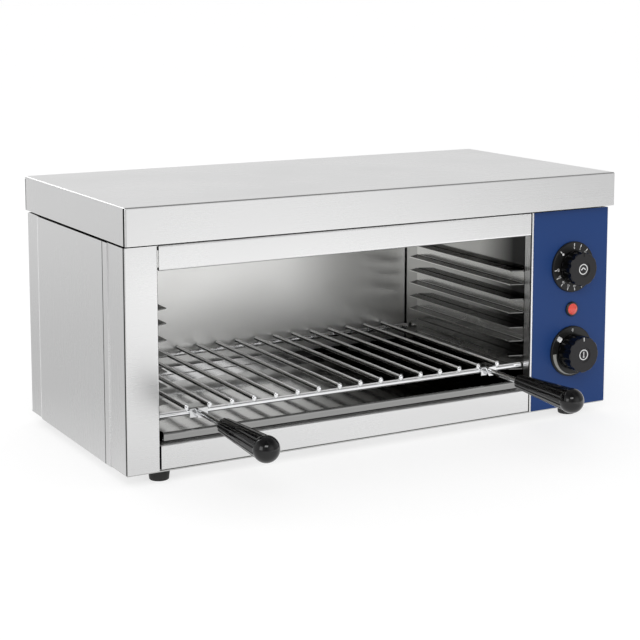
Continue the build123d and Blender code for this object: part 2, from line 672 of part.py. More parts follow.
def handle_grip(x):
    """Moulded grip: a fluted taper that ends in a smooth dome."""
    start = GRIP_START_DIAMETER / 2
    end = GRIP_END_DIAMETER / 2
    ball = GRIP_DOME_DIAMETER / 2
    neck = GRIP_LENGTH - ball
    ring = neck - GRIP_RING
    outline = [Line((0, 0), (start - GRIP_EDGE, 0)),
               quarter((start - GRIP_EDGE, 0), (start, 0), (start, GRIP_EDGE)),
               Line((start, GRIP_EDGE), (end, ring)),
               TangentArc((ball, neck), (end, ring), tangent=(0, -1)),
               dome(ball, neck, GRIP_LENGTH),
               Line((0, GRIP_LENGTH), (0, 0))]
    place = Location(Plane((x, -GRIP_FRONT, BAR_HEIGHT), z_dir=(0, -1, 0)))
    grip = turned(outline, place)
    lift = FLUTE_RADIUS - FLUTE_DEPTH
    foot = Vector(start + lift, 0, 0)
    head = Vector(end + lift, 0, ring)
    groove = Plane(foot, z_dir=head - foot) * Cylinder(FLUTE_RADIUS, (head - foot).length, align=LOW)
    groove += Pos(*head) * Sphere(FLUTE_RADIUS)
    for index in range(GRIP_FLUTES):
        grip -= place * Rot(0, 0, (index + 0.5) * 360 / GRIP_FLUTES) * groove
    bore = HANDLE_ROD_DIAMETER / 2 + RUNNING_CLEARANCE
    return grip - place * Cylinder(bore, GRIP_BORE_DEPTH, align=LOW)


# ---------------------------------------------------------------- crumb tray
def crumb_tray():
    """Shallow pan with a rolled front lip, which slides on the sill and the runners."""
    under = FLOOR + REST_CLEARANCE
    top = under + TRAY_HEIGHT
    back = CHAMBER_DEPTH - TRAY_BACK_GAP
    wall = TRAY_FRONT + TRAY_LIP
    lip = TRAY_FRONT + TRAY_SHEET
    section = folded([(lip, top - TRAY_LIP_DROP), (lip, top - TRAY_SHEET), (wall, top - TRAY_SHEET),
                      (wall, under), (back, under), (back, top)], Side.LEFT, TRAY_SHEET, TRAY_BEND)
    left = WALL_LEFT + TRAY_SIDE_GAP
    right = WALL_RIGHT - TRAY_SIDE_GAP
    tray = along_x(section, left, right)
    for x in (left, right - TRAY_SHEET):
        tray += block((x, wall, under + TRAY_BEND), (x + TRAY_SHEET, back, top))
        tray += block((x, wall + TRAY_BEND, under),
                      (x + TRAY_SHEET, back - TRAY_BEND, under + TRAY_BEND))
    return tray


# ---------------------------------------------------------------- heating elements
def heating_element(middle):
    """Hairpin of sheathed tube, both ends through the right chamber wall."""
    near = middle - ELEMENT_SPREAD / 2
    far = middle + ELEMENT_SPREAD / 2
    path = FilletPolyline((ELEMENT_RIGHT, near, ELEMENT_HEIGHT), (ELEMENT_LEFT, near, ELEMENT_HEIGHT),
                          (ELEMENT_LEFT, far, ELEMENT_HEIGHT), (ELEMENT_RIGHT, far, ELEMENT_HEIGHT),
                          radius=ELEMENT_BEND)
    section = Plane(path @ 0, z_dir=path % 0) * Circle(ELEMENT_DIAMETER / 2)
    return sweep(section, path=path)


def element_hanger(middle, x):
    """Plate with two holes for one element's legs, folded at the top against its trough."""
    top = ROOF + TROUGH_RISE
    low = ELEMENT_HEIGHT - HANGER_EDGE
    section = folded([(x, low), (x, top), (x + HANGER_FLANGE, top)], Side.RIGHT)
    plate = along_y(section, middle - HANGER_WIDTH / 2, middle + HANGER_WIDTH / 2)
    for side in (-1, 1):
        y = middle + side * ELEMENT_SPREAD / 2
        hole = ELEMENT_DIAMETER / 2 + RUNNING_CLEARANCE
        plate -= rod_x(hole, x - SHEET, x + 2 * SHEET, y, ELEMENT_HEIGHT)
    return plate


def element_hangers():
    length = WALL_RIGHT - ELEMENT_LEFT
    places = [ELEMENT_LEFT + length / 5, ELEMENT_LEFT + length * 3 / 5]
    return Compound(children=[element_hanger(middle, x) for middle in ELEMENT_MIDDLES for x in places])


def element_collars():
    """Flanged bushes that hold the cold ends in the chamber wall."""
    collars = []
    front = WALL_RIGHT - COLLAR_FLANGE
    end = WALL_RIGHT + SHEET + COLLAR_LENGTH
    bore = ELEMENT_DIAMETER / 2 + RUNNING_CLEARANCE
    for y in ELEMENT_LEGS:
        collar = rod_x(COLLAR_DIAMETER / 2, front, WALL_RIGHT, y, ELEMENT_HEIGHT)
        collar += rod_x(COLLAR_NECK / 2, WALL_RIGHT, end, y, ELEMENT_HEIGHT)
        collars.append(collar - rod_x(bore, front - SHEET, ELEMENT_RIGHT, y, ELEMENT_HEIGHT))
    return Compound(children=collars)


def element_nuts():
    nuts = []
    start = WALL_RIGHT + SHEET
    bore = COLLAR_NECK / 2 + RUNNING_CLEARANCE
    for y in ELEMENT_LEGS:
        nut = hexagon_x(COLLAR_NUT_FLATS, start, start + COLLAR_NUT_HEIGHT, y, ELEMENT_HEIGHT)
        nuts.append(nut - rod_x(bore, start - SHEET, ELEMENT_RIGHT, y, ELEMENT_HEIGHT))
    return Compound(children=nuts)


def element_insulators():
    """Ceramic beads on the ends of the elements."""
    beads = []
    end = ELEMENT_RIGHT + BEAD_LENGTH
    bore = STUD_DIAMETER / 2 + RUNNING_CLEARANCE
    for y in ELEMENT_LEGS:
        bead = rod_x(BEAD_DIAMETER / 2, ELEMENT_RIGHT, end, y, ELEMENT_HEIGHT)
        bead = chamfer(bead.edges().group_by(Axis.X)[-1], BEAD_DIAMETER / 8)
        beads.append(bead - rod_x(bore, ELEMENT_RIGHT - SHEET, end + SHEET, y, ELEMENT_HEIGHT))
    return Compound(children=beads)


def element_terminals():
    """Threaded studs that carry the leads."""
    end = ELEMENT_RIGHT + BEAD_LENGTH + STUD_LENGTH
    return Compound(children=[rod_x(STUD_DIAMETER / 2, ELEMENT_RIGHT, end, y, ELEMENT_HEIGHT)
                              for y in ELEMENT_LEGS])


# ---------------------------------------------------------------- controls
def dial(z):
    """Fixed scale plate behind a knob, hollow at the back over the screw heads."""
    radius = DIAL_DIAMETER / 2
    plate = rod_y(radius, DIAL_FACE, FASCIA_FACE, CONTROL_X, z)
    plate = chamfer(plate.edges().group_by(Axis.Y)[0], DIAL_CHAMFER)
    plate -= rod_y(radius - 2 * DIAL_WALL, DIAL_FACE + DIAL_WALL, FASCIA_FACE, CONTROL_X, z)
    return plate - rod_y(SHAFT_DIAMETER / 2 + HOLE_CLEARANCE, DIAL_FACE - SHEET, 0, CONTROL_X, z)


def knob(z, diameter, depth):
    """Scalloped knob with a dished face and a pointer slot; the shaft's bore is blind."""
    back = DIAL_FACE - KNOB_GAP
    face = back - depth
    body = rod_y(diameter / 2, face, back, CONTROL_X, z)
    body = chamfer(body.edges().group_by(Axis.Y)[0], KNOB_CHAMFER)
    scallop = diameter / 8
    ring = diameter / 2 + scallop - SCALLOP_DEPTH
    for index in range(KNOB_SCALLOPS):
        angle = radians((index + 0.5) * 360 / KNOB_SCALLOPS)
        body -= rod_y(scallop, face - SHEET, back - 2 * KNOB_CHAMFER,
                      CONTROL_X + ring * sin(angle), z + ring * cos(angle))
    body -= rod_y(KNOB_DISH_DIAMETER / 2, face - SHEET, face + KNOB_DISH_DEPTH, CONTROL_X, z)
    top = z + diameter / 2
    body -= block((CONTROL_X - POINTER_WIDTH / 2, face - SHEET, top - POINTER_LENGTH),
                  (CONTROL_X + POINTER_WIDTH / 2, face + KNOB_DISH_DEPTH, top + SHEET))
    bore = rod_y(SHAFT_DIAMETER / 2 + RUNNING_CLEARANCE, back - SHAFT_IN_KNOB, back + SHEET, CONTROL_X, z)
    flat = flat_cut(z, back - SHAFT_IN_KNOB, back + SHEET, SHAFT_FLAT - RUNNING_CLEARANCE)
    return body - (bore - flat)


def flat_cut(z, start, end, depth):
    """What the flat takes off a shaft: everything above its chord."""
    radius = SHAFT_DIAMETER / 2
    return block((CONTROL_X - 2 * radius, start, z + radius - depth),
                 (CONTROL_X + 2 * radius, end, z + 2 * radius))


def shaft(z):
    """Control shaft with a flat where the knob sits on it."""
    back = DIAL_FACE - KNOB_GAP
    front = back - SHAFT_IN_KNOB + REST_CLEARANCE
    rod = rod_y(SHAFT_DIAMETER / 2, front, SHEET + SHAFT_IN_BODY, CONTROL_X, z)
    return rod - flat_cut(z, front - SHEET, back, SHAFT_FLAT)


def blade(x, start, z, width, length):
    """Push-on terminal that points to the rear, lying flat."""
    return block((x - width / 2, start, z - BLADE_THICKNESS / 2),
                 (x + width / 2, start + length, z + BLADE_THICKNESS / 2))


def control_body(z, depth):
    """Switch housing behind the column: mounting plate, chamfered case and terminal blades."""
    half = BODY_SIZE / 2
    plate = block((CONTROL_X - MOUNT_PLATE_WIDTH / 2, SHEET, z - half / 2),
                  (CONTROL_X + MOUNT_PLATE_WIDTH / 2, SHEET + MOUNT_PLATE, z + half / 2))
    case = block((CONTROL_X - half, SHEET + MOUNT_PLATE, z - half),
                 (CONTROL_X + half, SHEET + depth, z + half))
    body = plate + chamfer(case.edges().filter_by(Axis.Y), BODY_CORNER)
    for x in (-half / 2, half / 2):
        for rise in (-half / 2, half / 2):
            body += blade(CONTROL_X + x, SHEET + depth, z + rise, BLADE_WIDTH, BLADE_LENGTH)
    end = SHEET + SHAFT_IN_BODY + REST_CLEARANCE
    body -= rod_y(SHAFT_DIAMETER / 2 + RUNNING_CLEARANCE, 0, end, CONTROL_X, z)
    return body - screw_holes(control_screw_places())


def thermostat_bulb():
    """Sensing bulb under the roof, with the capillary that leads to the thermostat."""
    end = WALL_RIGHT + SHEET + BULB_TAIL
    bulb = rod_x(BULB_DIAMETER / 2, WALL_RIGHT - BULB_LENGTH, end, BULB_Y, BULB_HEIGHT)
    bulb = fillet(bulb.edges().group_by(Axis.X)[0], BULB_DIAMETER / 4)
    turn_x = CONTROL_X - BODY_SIZE / 2 - CAPILLARY_BEND
    drop_y = BULB_Y - 2 * CAPILLARY_BEND
    entry_y = SHEET + MOUNT_PLATE + THERMOSTAT_BODY_DEPTH / 2
    path = FilletPolyline((end, BULB_Y, BULB_HEIGHT), (turn_x, BULB_Y, BULB_HEIGHT),
                          (turn_x, drop_y, BULB_HEIGHT), (turn_x, drop_y, THERMOSTAT_Z),
                          (turn_x, entry_y, THERMOSTAT_Z),
                          (CONTROL_X - BODY_SIZE / 2, entry_y, THERMOSTAT_Z),
                          radius=CAPILLARY_BEND - SHEET)
    tube = sweep(Plane(path @ 0, z_dir=path % 0) * Circle(CAPILLARY_DIAMETER / 2), path=path)
    return bulb + tube


# ---------------------------------------------------------------- pilot lamp
def lamp_lens():
    """Red lens: a domed head and a neck through the column."""
    radius = LENS_DIAMETER / 2
    neck = LAMP_NECK_DIAMETER / 2
    tail = -FASCIA_THICKNESS - SHEET
    outline = [Line((0, tail), (neck, tail)), Line((neck, tail), (neck, 0)),
               Line((neck, 0), (radius, 0)), Line((radius, 0), (radius, LENS_EDGE)),
               dome(radius, LENS_EDGE, LENS_HEIGHT),
               Line((0, LENS_HEIGHT), (0, tail))]
    return turned(outline, Location(Plane((CONTROL_X, FASCIA_FACE, LAMP_Z), z_dir=(0, -1, 0))))


def lamp_bezel():
    front = FASCIA_FACE - LAMP_BEZEL_HEIGHT
    ring = rod_y(LAMP_BEZEL_DIAMETER / 2, front, FASCIA_FACE, CONTROL_X, LAMP_Z)
    ring = chamfer(ring.edges().group_by(Axis.Y)[0], LAMP_BEZEL_HEIGHT / 3)
    inside = LENS_DIAMETER / 2 + RUNNING_CLEARANCE
    return ring - rod_y(inside, front - SHEET, 0, CONTROL_X, LAMP_Z)


def lamp_body():
    """Lamp holder behind the column, with a locking flange and two blades."""
    radius = LAMP_BODY_DIAMETER / 2
    end = SHEET + LAMP_BODY_LENGTH
    body = rod_y(radius, SHEET, end, CONTROL_X, LAMP_Z)
    body += rod_y(radius + LAMP_FLANGE, SHEET, SHEET + LAMP_FLANGE_HEIGHT, CONTROL_X, LAMP_Z)
    for rise in (-radius / 2, radius / 2):
        body += blade(CONTROL_X, end, LAMP_Z + rise, LAMP_BLADE_WIDTH, BLADE_LENGTH)
    return body


# ---------------------------------------------------------------- supply side
def cable_gland():
    """Gland in the rear panel: hexagon flange, domed cap and a plain bore for the supply lead."""
    body = rod_y(GLAND_THREAD / 2, REAR_INSIDE - GLAND_TAIL, BODY_DEPTH, GLAND_X, GLAND_Z)
    body += hexagon_y(GLAND_FLATS, BODY_DEPTH, BODY_DEPTH + GLAND_FLANGE, GLAND_X, GLAND_Z)
    cap = rod_y(GLAND_DOME_DIAMETER / 2, BODY_DEPTH + GLAND_FLANGE, GLAND_END, GLAND_X, GLAND_Z)
    body += fillet(cap.edges().group_by(Axis.Y)[-1], GLAND_DOME_ROUNDING)
    start = REAR_INSIDE - GLAND_TAIL - SHEET
    return body - rod_y(GLAND_BORE / 2, start, GLAND_END + SHEET, GLAND_X, GLAND_Z)


def gland_nut():
    start = REAR_INSIDE - GLAND_NUT_HEIGHT
    nut = hexagon_y(GLAND_FLATS, start, REAR_INSIDE, GLAND_X, GLAND_Z)
    thread = GLAND_THREAD / 2 + RUNNING_CLEARANCE
    return nut - rod_y(thread, start - SHEET, BODY_DEPTH, GLAND_X, GLAND_Z)


def terminal_block():
    """Ceramic terminal block on the base plate, one ridge and one wire hole to a pole."""
    y = BODY_DEPTH - BLOCK_BACK
    low = (CONTROL_X - BLOCK_LENGTH / 2, y - BLOCK_WIDTH / 2, SKIN_BOTTOM)
    high = (CONTROL_X + BLOCK_LENGTH / 2, y + BLOCK_WIDTH / 2, SKIN_BOTTOM + BLOCK_HEIGHT)
    body = fillet(block(low, high).edges().filter_by(Axis.Z), BLOCK_CORNER)
    pitch = BLOCK_LENGTH / BLOCK_POLES
    for index in range(BLOCK_POLES):
        x = CONTROL_X + (index - (BLOCK_POLES - 1) / 2) * pitch
        body -= rod_y(BLOCK_WIRE_HOLE / 2, low[1] - SHEET, high[1] + SHEET, x, (low[2] + high[2]) / 2)
        body -= rod_z(BLOCK_SCREW_HOLE / 2, high[2] - BLOCK_SCREW_DEPTH, high[2] + SHEET, x, y)
    return body


# ---------------------------------------------------------------- feet and screws
def foot(x, y):
    """Rubber foot: tapered towards its tread, with a hole that sinks the screw's head."""
    top = FOOT_DIAMETER / 2
    tread = top - FOOT_TAPER
    head = SCREW_HEAD_DIAMETER / 2 + HOLE_CLEARANCE
    shank = SCREW_DIAMETER / 2 + HOLE_CLEARANCE
    seat = FOOT_HEIGHT / 2
    collar = FOOT_HEIGHT - FOOT_COLLAR
    outline = [Line((head, 0), (tread - FOOT_EDGE, 0)),
               quarter((tread - FOOT_EDGE, 0), (tread, 0), (tread, FOOT_EDGE)),
               Line((tread, FOOT_EDGE), (top, collar)), Line((top, collar), (top, FOOT_HEIGHT)),
               Line((top, FOOT_HEIGHT), (shank, FOOT_HEIGHT)),
               Line((shank, FOOT_HEIGHT), (shank, seat)),
               Line((shank, seat), (head, seat)), Line((head, seat), (head, 0))]
    return turned(outline, Location((x, y, 0)))


def foot_screw(x, y):
    seat = FOOT_HEIGHT / 2
    return screw(Plane((x, y, seat), z_dir=(0, 0, -1)), FOOT_HEIGHT - seat + SCREW_LENGTH)


def write(pieces):
    """Moves each piece to the common origin and writes it under its name."""
    os.makedirs("parts", exist_ok=True)
    for name, piece in pieces.items():
        export_step(Pos(0, -ORIGIN_Y, 0) * piece, f"parts/{name}.step")


def build():
    pieces = {
        "top_cover": top_cover(),
        "left_front_post": left_front_post(),
        "right_front_post": right_front_post(),
        "left_side_cover": side_cover(),
        "right_side_cover": right_side_cover(),
        "rear_panel": rear_panel(),
        "base_plate": base_plate(),
        "header": cross_rail(LID_BOTTOM - HEADER_HEIGHT, SKIN_TOP),
        "sill": sill(),
        "control_fascia": control_fascia(),
        "left_liner": left_liner(),
        "right_liner": right_liner(),
        "chamber_back": chamber_back(),
        "reflector": reflector(),
        "grid_rests": grid_rests(),
        "grid_front_bar": grid_bar(BAR_FRONT),
        "grid_back_bar": grid_bar(BAR_BACK),
        "grid_rods": grid_rods(),
        "crumb_tray": crumb_tray(),
        "front_element": heating_element(ELEMENT_MIDDLES[0]),
        "rear_element": heating_element(ELEMENT_MIDDLES[1]),
        "element_hangers": element_hangers(),
        "element_collars": element_collars(),
        "element_nuts": element_nuts(),
        "element_insulators": element_insulators(),
        "element_terminals": element_terminals(),
        "timer_dial": dial(TIMER_Z),
        "timer_knob": knob(TIMER_Z, TIMER_KNOB_DIAMETER, TIMER_KNOB_DEPTH),
        "timer_shaft": shaft(TIMER_Z),
        "timer_body": control_body(TIMER_Z, TIMER_BODY_DEPTH),
        "thermostat_dial": dial(THERMOSTAT_Z),
        "thermostat_knob": knob(THERMOSTAT_Z, THERMOSTAT_KNOB_DIAMETER, THERMOSTAT_KNOB_DEPTH),
        "thermostat_shaft": shaft(THERMOSTAT_Z),
        "thermostat_body": control_body(THERMOSTAT_Z, THERMOSTAT_BODY_DEPTH),
        "thermostat_bulb": thermostat_bulb(),
        "lamp_lens": lamp_lens(),
        "lamp_bezel": lamp_bezel(),
        "lamp_body": lamp_body(),
        "cable_gland": cable_gland(),
        "gland_nut": gland_nut(),
        "terminal_block": terminal_block(),
        "feet": Compound(children=[foot(x, y) for x, y in foot_places()]),
        "foot_screws": Compound(children=[foot_screw(x, y) for x, y in foot_places()]),
        "body_screws": Compound(children=[screw(place) for place in
                                          lid_screw_places() + cover_screw_places()]),
        "control_screws": Compound(children=[screw(place) for place in control_screw_places()]),
    }
    for level in range(RAIL_COUNT):
        rail = rack_rail(level)
        pieces[f"left_rail_{level + 1}"] = rail
        pieces[f"right_rail_{level + 1}"] = mirrored(rail, CHAMBER_MIDDLE)
    handles = {"left": CHAMBER_MIDDLE - HANDLE_OFFSET, "right": CHAMBER_MIDDLE + HANDLE_OFFSET}
    for side, x in handles.items():
        pieces[f"{side}_handle_bracket"] = handle_bracket(x)
        pieces[f"{side}_handle_rod"] = handle_rod(x)
        pieces[f"{side}_handle_grip"] = handle_grip(x)
    pieces["handle_nuts"] = Compound(children=[handle_nut(x) for x in handles.values()])
    return pieces


write(build())
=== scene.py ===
import json
import math

import bpy
from bpy.props import FloatProperty, FloatVectorProperty, IntProperty, PointerProperty
from bpy.types import Operator, Panel, PropertyGroup
from mathutils import Matrix, Vector

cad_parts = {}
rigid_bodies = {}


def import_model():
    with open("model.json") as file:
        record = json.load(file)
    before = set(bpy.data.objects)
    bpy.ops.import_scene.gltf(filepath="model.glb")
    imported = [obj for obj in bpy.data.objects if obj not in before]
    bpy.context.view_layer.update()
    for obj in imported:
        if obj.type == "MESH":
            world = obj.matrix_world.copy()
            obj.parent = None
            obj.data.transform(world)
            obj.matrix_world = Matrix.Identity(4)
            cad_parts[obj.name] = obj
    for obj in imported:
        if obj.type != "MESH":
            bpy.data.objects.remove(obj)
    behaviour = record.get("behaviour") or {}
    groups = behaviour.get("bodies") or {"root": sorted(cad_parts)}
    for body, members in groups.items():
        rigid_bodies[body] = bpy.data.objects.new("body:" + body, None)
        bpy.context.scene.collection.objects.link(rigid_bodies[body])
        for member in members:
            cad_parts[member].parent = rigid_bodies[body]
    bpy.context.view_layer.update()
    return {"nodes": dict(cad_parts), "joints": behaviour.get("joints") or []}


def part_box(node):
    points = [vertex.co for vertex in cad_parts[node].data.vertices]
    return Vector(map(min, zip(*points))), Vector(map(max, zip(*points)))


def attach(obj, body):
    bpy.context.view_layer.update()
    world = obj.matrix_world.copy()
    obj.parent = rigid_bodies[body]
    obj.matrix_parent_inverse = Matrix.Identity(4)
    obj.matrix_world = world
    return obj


bl_info = {
    "name": "Cheese Melter",
    "version": (1, 0, 0),
    "blender": (4, 5, 0),
    "location": "3D View > Sidebar > Melter",
    "description": "Finishes, dial prints and a studio stage for the packed cheese melter",
    "category": "Object",
}

# The startup file's cube, lamp and camera go first.
for leftover in list(bpy.data.objects):
    bpy.data.objects.remove(leftover)
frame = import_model()

MM = 0.001
FRONT = Vector((0, -1, 0))
UPRIGHT = (math.pi / 2, 0, 0)   # turns a flat shape to face the front
CAP_HEIGHT = 0.7                # of a figure set in type of size one

# What a Mix node mixes. Its inputs and outputs go by number, because their names repeat.
VALUES = {"data_type": "FLOAT"}
VALUE_A, VALUE_B, VALUE_MIX = 2, 3, 0
VECTORS = {"data_type": "VECTOR"}
VECTOR_A, VECTOR_B, VECTOR_MIX = 4, 5, 1
COLOURS = {"data_type": "RGBA"}
COLOUR_A, COLOUR_B, COLOUR_MIX = 6, 7, 2


# ---- small helpers
def linear(code):
    """An sRGB hex value such as D9D9D8 as three linear numbers."""
    parts = [int(code[place:place + 2], 16) / 255 for place in (0, 2, 4)]
    return [part / 12.92 if part <= 0.04045 else ((part + 0.055) / 1.055) ** 2.4 for part in parts]


def rgba(colour):
    return (*colour, 1.0)


def grey(level):
    """A linear grey."""
    return rgba([level] * 3)


def shaded(colour, share):
    """A colour at a share of its brightness."""
    return [part * share for part in colour]


def up(distance):
    return Vector((0, 0, distance))


def add(tree, kind, settings=None, values=None, links=None):
    """Adds a shader node with its settings, its input values and the outputs that feed it."""
    made = tree.nodes.new(f"ShaderNode{kind}")
    for name, setting in (settings or {}).items():
        setattr(made, name, setting)
    for name, value in (values or {}).items():
        made.inputs[name].default_value = value
    for name, output in (links or {}).items():
        tree.links.new(output, made.inputs[name])
    return made


def surface(name, **values):
    """A new material and its Principled shader with those constants."""
    material = bpy.data.materials.new(name)
    material.use_nodes = True
    tree = material.node_tree
    tree.nodes.clear()
    shader = add(tree, "BsdfPrincipled", values=values)
    add(tree, "OutputMaterial", links={"Surface": shader.outputs["BSDF"]})
    return material, tree, shader


def shader_of(material):
    """A material's node tree and its Principled shader."""
    tree = material.node_tree
    return tree, next(node for node in tree.nodes if node.type == "BSDF_PRINCIPLED")


def dress(material, *names):
    """Gives CAD nodes a material."""
    for name in names:
        mesh = frame["nodes"][name].data
        mesh.materials.clear()
        mesh.materials.append(material)


def front_middle(name, inset=0.0):
    """Middle of a node's front face, or of a face that lies further in."""
    low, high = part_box(name)
    centre = (low + high) / 2
    centre.y = low.y + inset
    return centre


def turn_range(name):
    """A turning joint's two limits in degrees."""
    return next(joint for joint in frame["joints"] if joint["name"] == name)["range_deg"]


def select_only(piece):
    bpy.ops.object.select_all(action="DESELECT")
    piece.select_set(True)
    bpy.context.view_layer.objects.active = piece


def open_mesh(piece):
    """Leaves only this piece selected, in edit mode, with all of it selected."""
    select_only(piece)
    bpy.ops.object.mode_set(mode="EDIT")
    bpy.ops.mesh.select_all(action="SELECT")


def close_mesh():
    bpy.ops.mesh.select_all(action="SELECT")
    bpy.ops.mesh.normals_make_consistent(inside=False)
    bpy.ops.object.mode_set(mode="OBJECT")


def settle(piece):
    """Puts a piece's place into its mesh, so that its object sits at the origin."""
    select_only(piece)
    bpy.ops.object.transform_apply(location=True, rotation=True, scale=True)


def thicken(depth):
    """Extrudes the open flat mesh towards the front."""
    bpy.ops.mesh.extrude_region_move(TRANSFORM_OT_translate={"value": FRONT * depth})


def flat_start(kind, place, **settings):
    """A flat primitive that faces the front, settled and open in edit mode."""
    bpy.ops.object.select_all(action="DESELECT")
    getattr(bpy.ops.mesh, f"primitive_{kind}_add")(location=place, rotation=UPRIGHT, **settings)
    piece = bpy.context.object
    settle(piece)
    open_mesh(piece)
    return piece


def flat_shape(kind, place, depth, tallness=1.0, **settings):
    """A flat primitive that faces the front, stretched upwards and extruded."""
    piece = flat_start(kind, place, **settings)
    bpy.ops.transform.resize(value=(1, 1, tallness), center_override=place)
    thicken(depth)
    close_mesh()
    return piece


def bar(place, width, height, depth):
    """A printed bar with softened corners."""
    piece = flat_shape("plane", place, depth, height / width, size=width)
    open_mesh(piece)
    bpy.ops.mesh.select_all(action="DESELECT")
    bpy.ops.object.mode_set(mode="OBJECT")
    for edge in piece.data.edges:
        ends = [piece.data.vertices[index].co for index in edge.vertices]
        edge.select = abs(ends[0].y - ends[1].y) > depth / 2
    bpy.ops.object.mode_set(mode="EDIT")
    bpy.ops.mesh.bevel(offset=min(width, height) / 5, segments=2)
    close_mesh()
    return piece


def disc(place, radius, depth, vertices=48):
    return flat_shape("circle", place, depth, radius=radius, vertices=vertices, fill_type="NGON")


def ring(place, radius, stroke, depth):
    """A printed ring: a disc, inset by its stroke, with the inside taken out, then extruded."""
    piece = flat_start("circle", place, radius=radius, vertices=64, fill_type="NGON")
    bpy.ops.mesh.inset(thickness=stroke, use_boundary=True)
    bpy.ops.mesh.delete(type="FACE")
    bpy.ops.mesh.select_all(action="SELECT")
    thicken(depth)
    close_mesh()
    return piece


def printed_text(words, place, height, depth):
    """Plain figures that face the front, as a mesh."""
    bpy.ops.object.select_all(action="DESELECT")
    bpy.ops.object.text_add(location=place + FRONT * depth / 2, rotation=UPRIGHT)
    piece = bpy.context.object
    piece.data.body = words
    piece.data.size = height / CAP_HEIGHT
    piece.data.align_x = "CENTER"
    piece.data.align_y = "CENTER"
    piece.data.extrude = depth / 2
    piece.data.resolution_u = 4
    bpy.ops.object.convert(target="MESH")
    piece = bpy.context.object
    settle(piece)
    return piece


def turned(piece, centre, degrees):
    """Turns a settled piece clockwise round an axis along Y, seen from the front."""
    turn = Matrix.Rotation(math.radians(degrees), 4, "Y")
    piece.data.transform(Matrix.Translation(centre) @ turn @ Matrix.Translation(-centre))
    return piece


def copy_of(piece):
    double = piece.copy()
    double.data = piece.data.copy()
    bpy.context.collection.objects.link(double)
    return double


def joined(pieces, name):
    """Joins settled meshes into one piece."""
    bpy.ops.object.select_all(action="DESELECT")
    for piece in pieces:
        piece.select_set(True)
    bpy.context.view_layer.objects.active = pieces[0]
    bpy.ops.object.join()
    piece = bpy.context.object
    piece.name = piece.data.name = name
    return piece


def fitted(piece, material, body):
    """Gives a new piece its material and the body that it rides on."""
    piece.data.materials.clear()
    piece.data.materials.append(material)
    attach(piece, body)


# ---- patterns
# The real sheets' lines are near 0.05 mm apart and the mouldings' grain is near 0.2 mm across. Where
# that is too fine to show, they are drawn at about 1 mm.
HIGHLIGHT_WHITE = linear("FCFCFC")        # white of the painted highlights on cut edges and on wire tops


def place_along(tree, axis):
    """A point's place along an axis."""
    place = add(tree, "TexCoord").outputs["Object"]
    return add(tree, "SeparateXYZ", links={"Vector": place}).outputs[axis]


def look_along(tree, axis, normal):
    """How squarely a face looks along an axis: one is dead on, and minus one is the other way."""
    look = add(tree, "NewGeometry").outputs[normal]
    return add(tree, "SeparateXYZ", links={"Vector": look}).outputs[axis]


def squareness(tree, axis, normal):
    """The same for both ways along the axis."""
    look = look_along(tree, axis, normal)
    return add(tree, "Math", {"operation": "ABSOLUTE"}, links={0: look}).outputs[0]


def grains(tree, size, detail=3.0):
    """Soft random patches of a size in millimetres."""
    place = add(tree, "TexCoord").outputs["Object"]
    return add(tree, "TexNoise", values={"Scale": 1 / (size * MM), "Detail": detail},
               links={"Vector": place}).outputs["Fac"]


def streaks(tree, spacing, length, across):
    """Fine brush lines along X and, if they also go across, along Z on the faces that look sideways."""
    place = add(tree, "TexCoord").outputs["Object"]
    fine = 1 / spacing
    long = 1 / length
    level = add(tree, "Mapping", values={"Scale": (long, fine, fine)}, links={"Vector": place})
    if not across:
        return level.outputs["Vector"]
    upright = add(tree, "Mapping", values={"Scale": (fine, fine, long)}, links={"Vector": place})
    sideways = add(tree, "Math", {"operation": "GREATER_THAN"}, {1: 0.7},
                   {0: squareness(tree, "X", "True Normal")})
    chosen = add(tree, "Mix", VECTORS,
                 links={"Factor": sideways.outputs[0], VECTOR_A: level.outputs["Vector"],
                        VECTOR_B: upright.outputs["Vector"]})
    return chosen.outputs[VECTOR_MIX]


def edge_mask(tree, radius):
    """One along the cut edges and corners of a sheet, nought on its flats and in its wide bends."""
    softened = add(tree, "Bevel", {"samples": 6}, {"Radius": radius * MM})
    plain = add(tree, "NewGeometry")
    along = add(tree, "VectorMath", {"operation": "DOT_PRODUCT"},
                links={0: softened.outputs["Normal"], 1: plain.outputs["Normal"]})
    return add(tree, "MapRange", values={"From Min": 0.99, "From Max": 0.93},
               links={"Value": along.outputs["Value"]}).outputs["Result"]


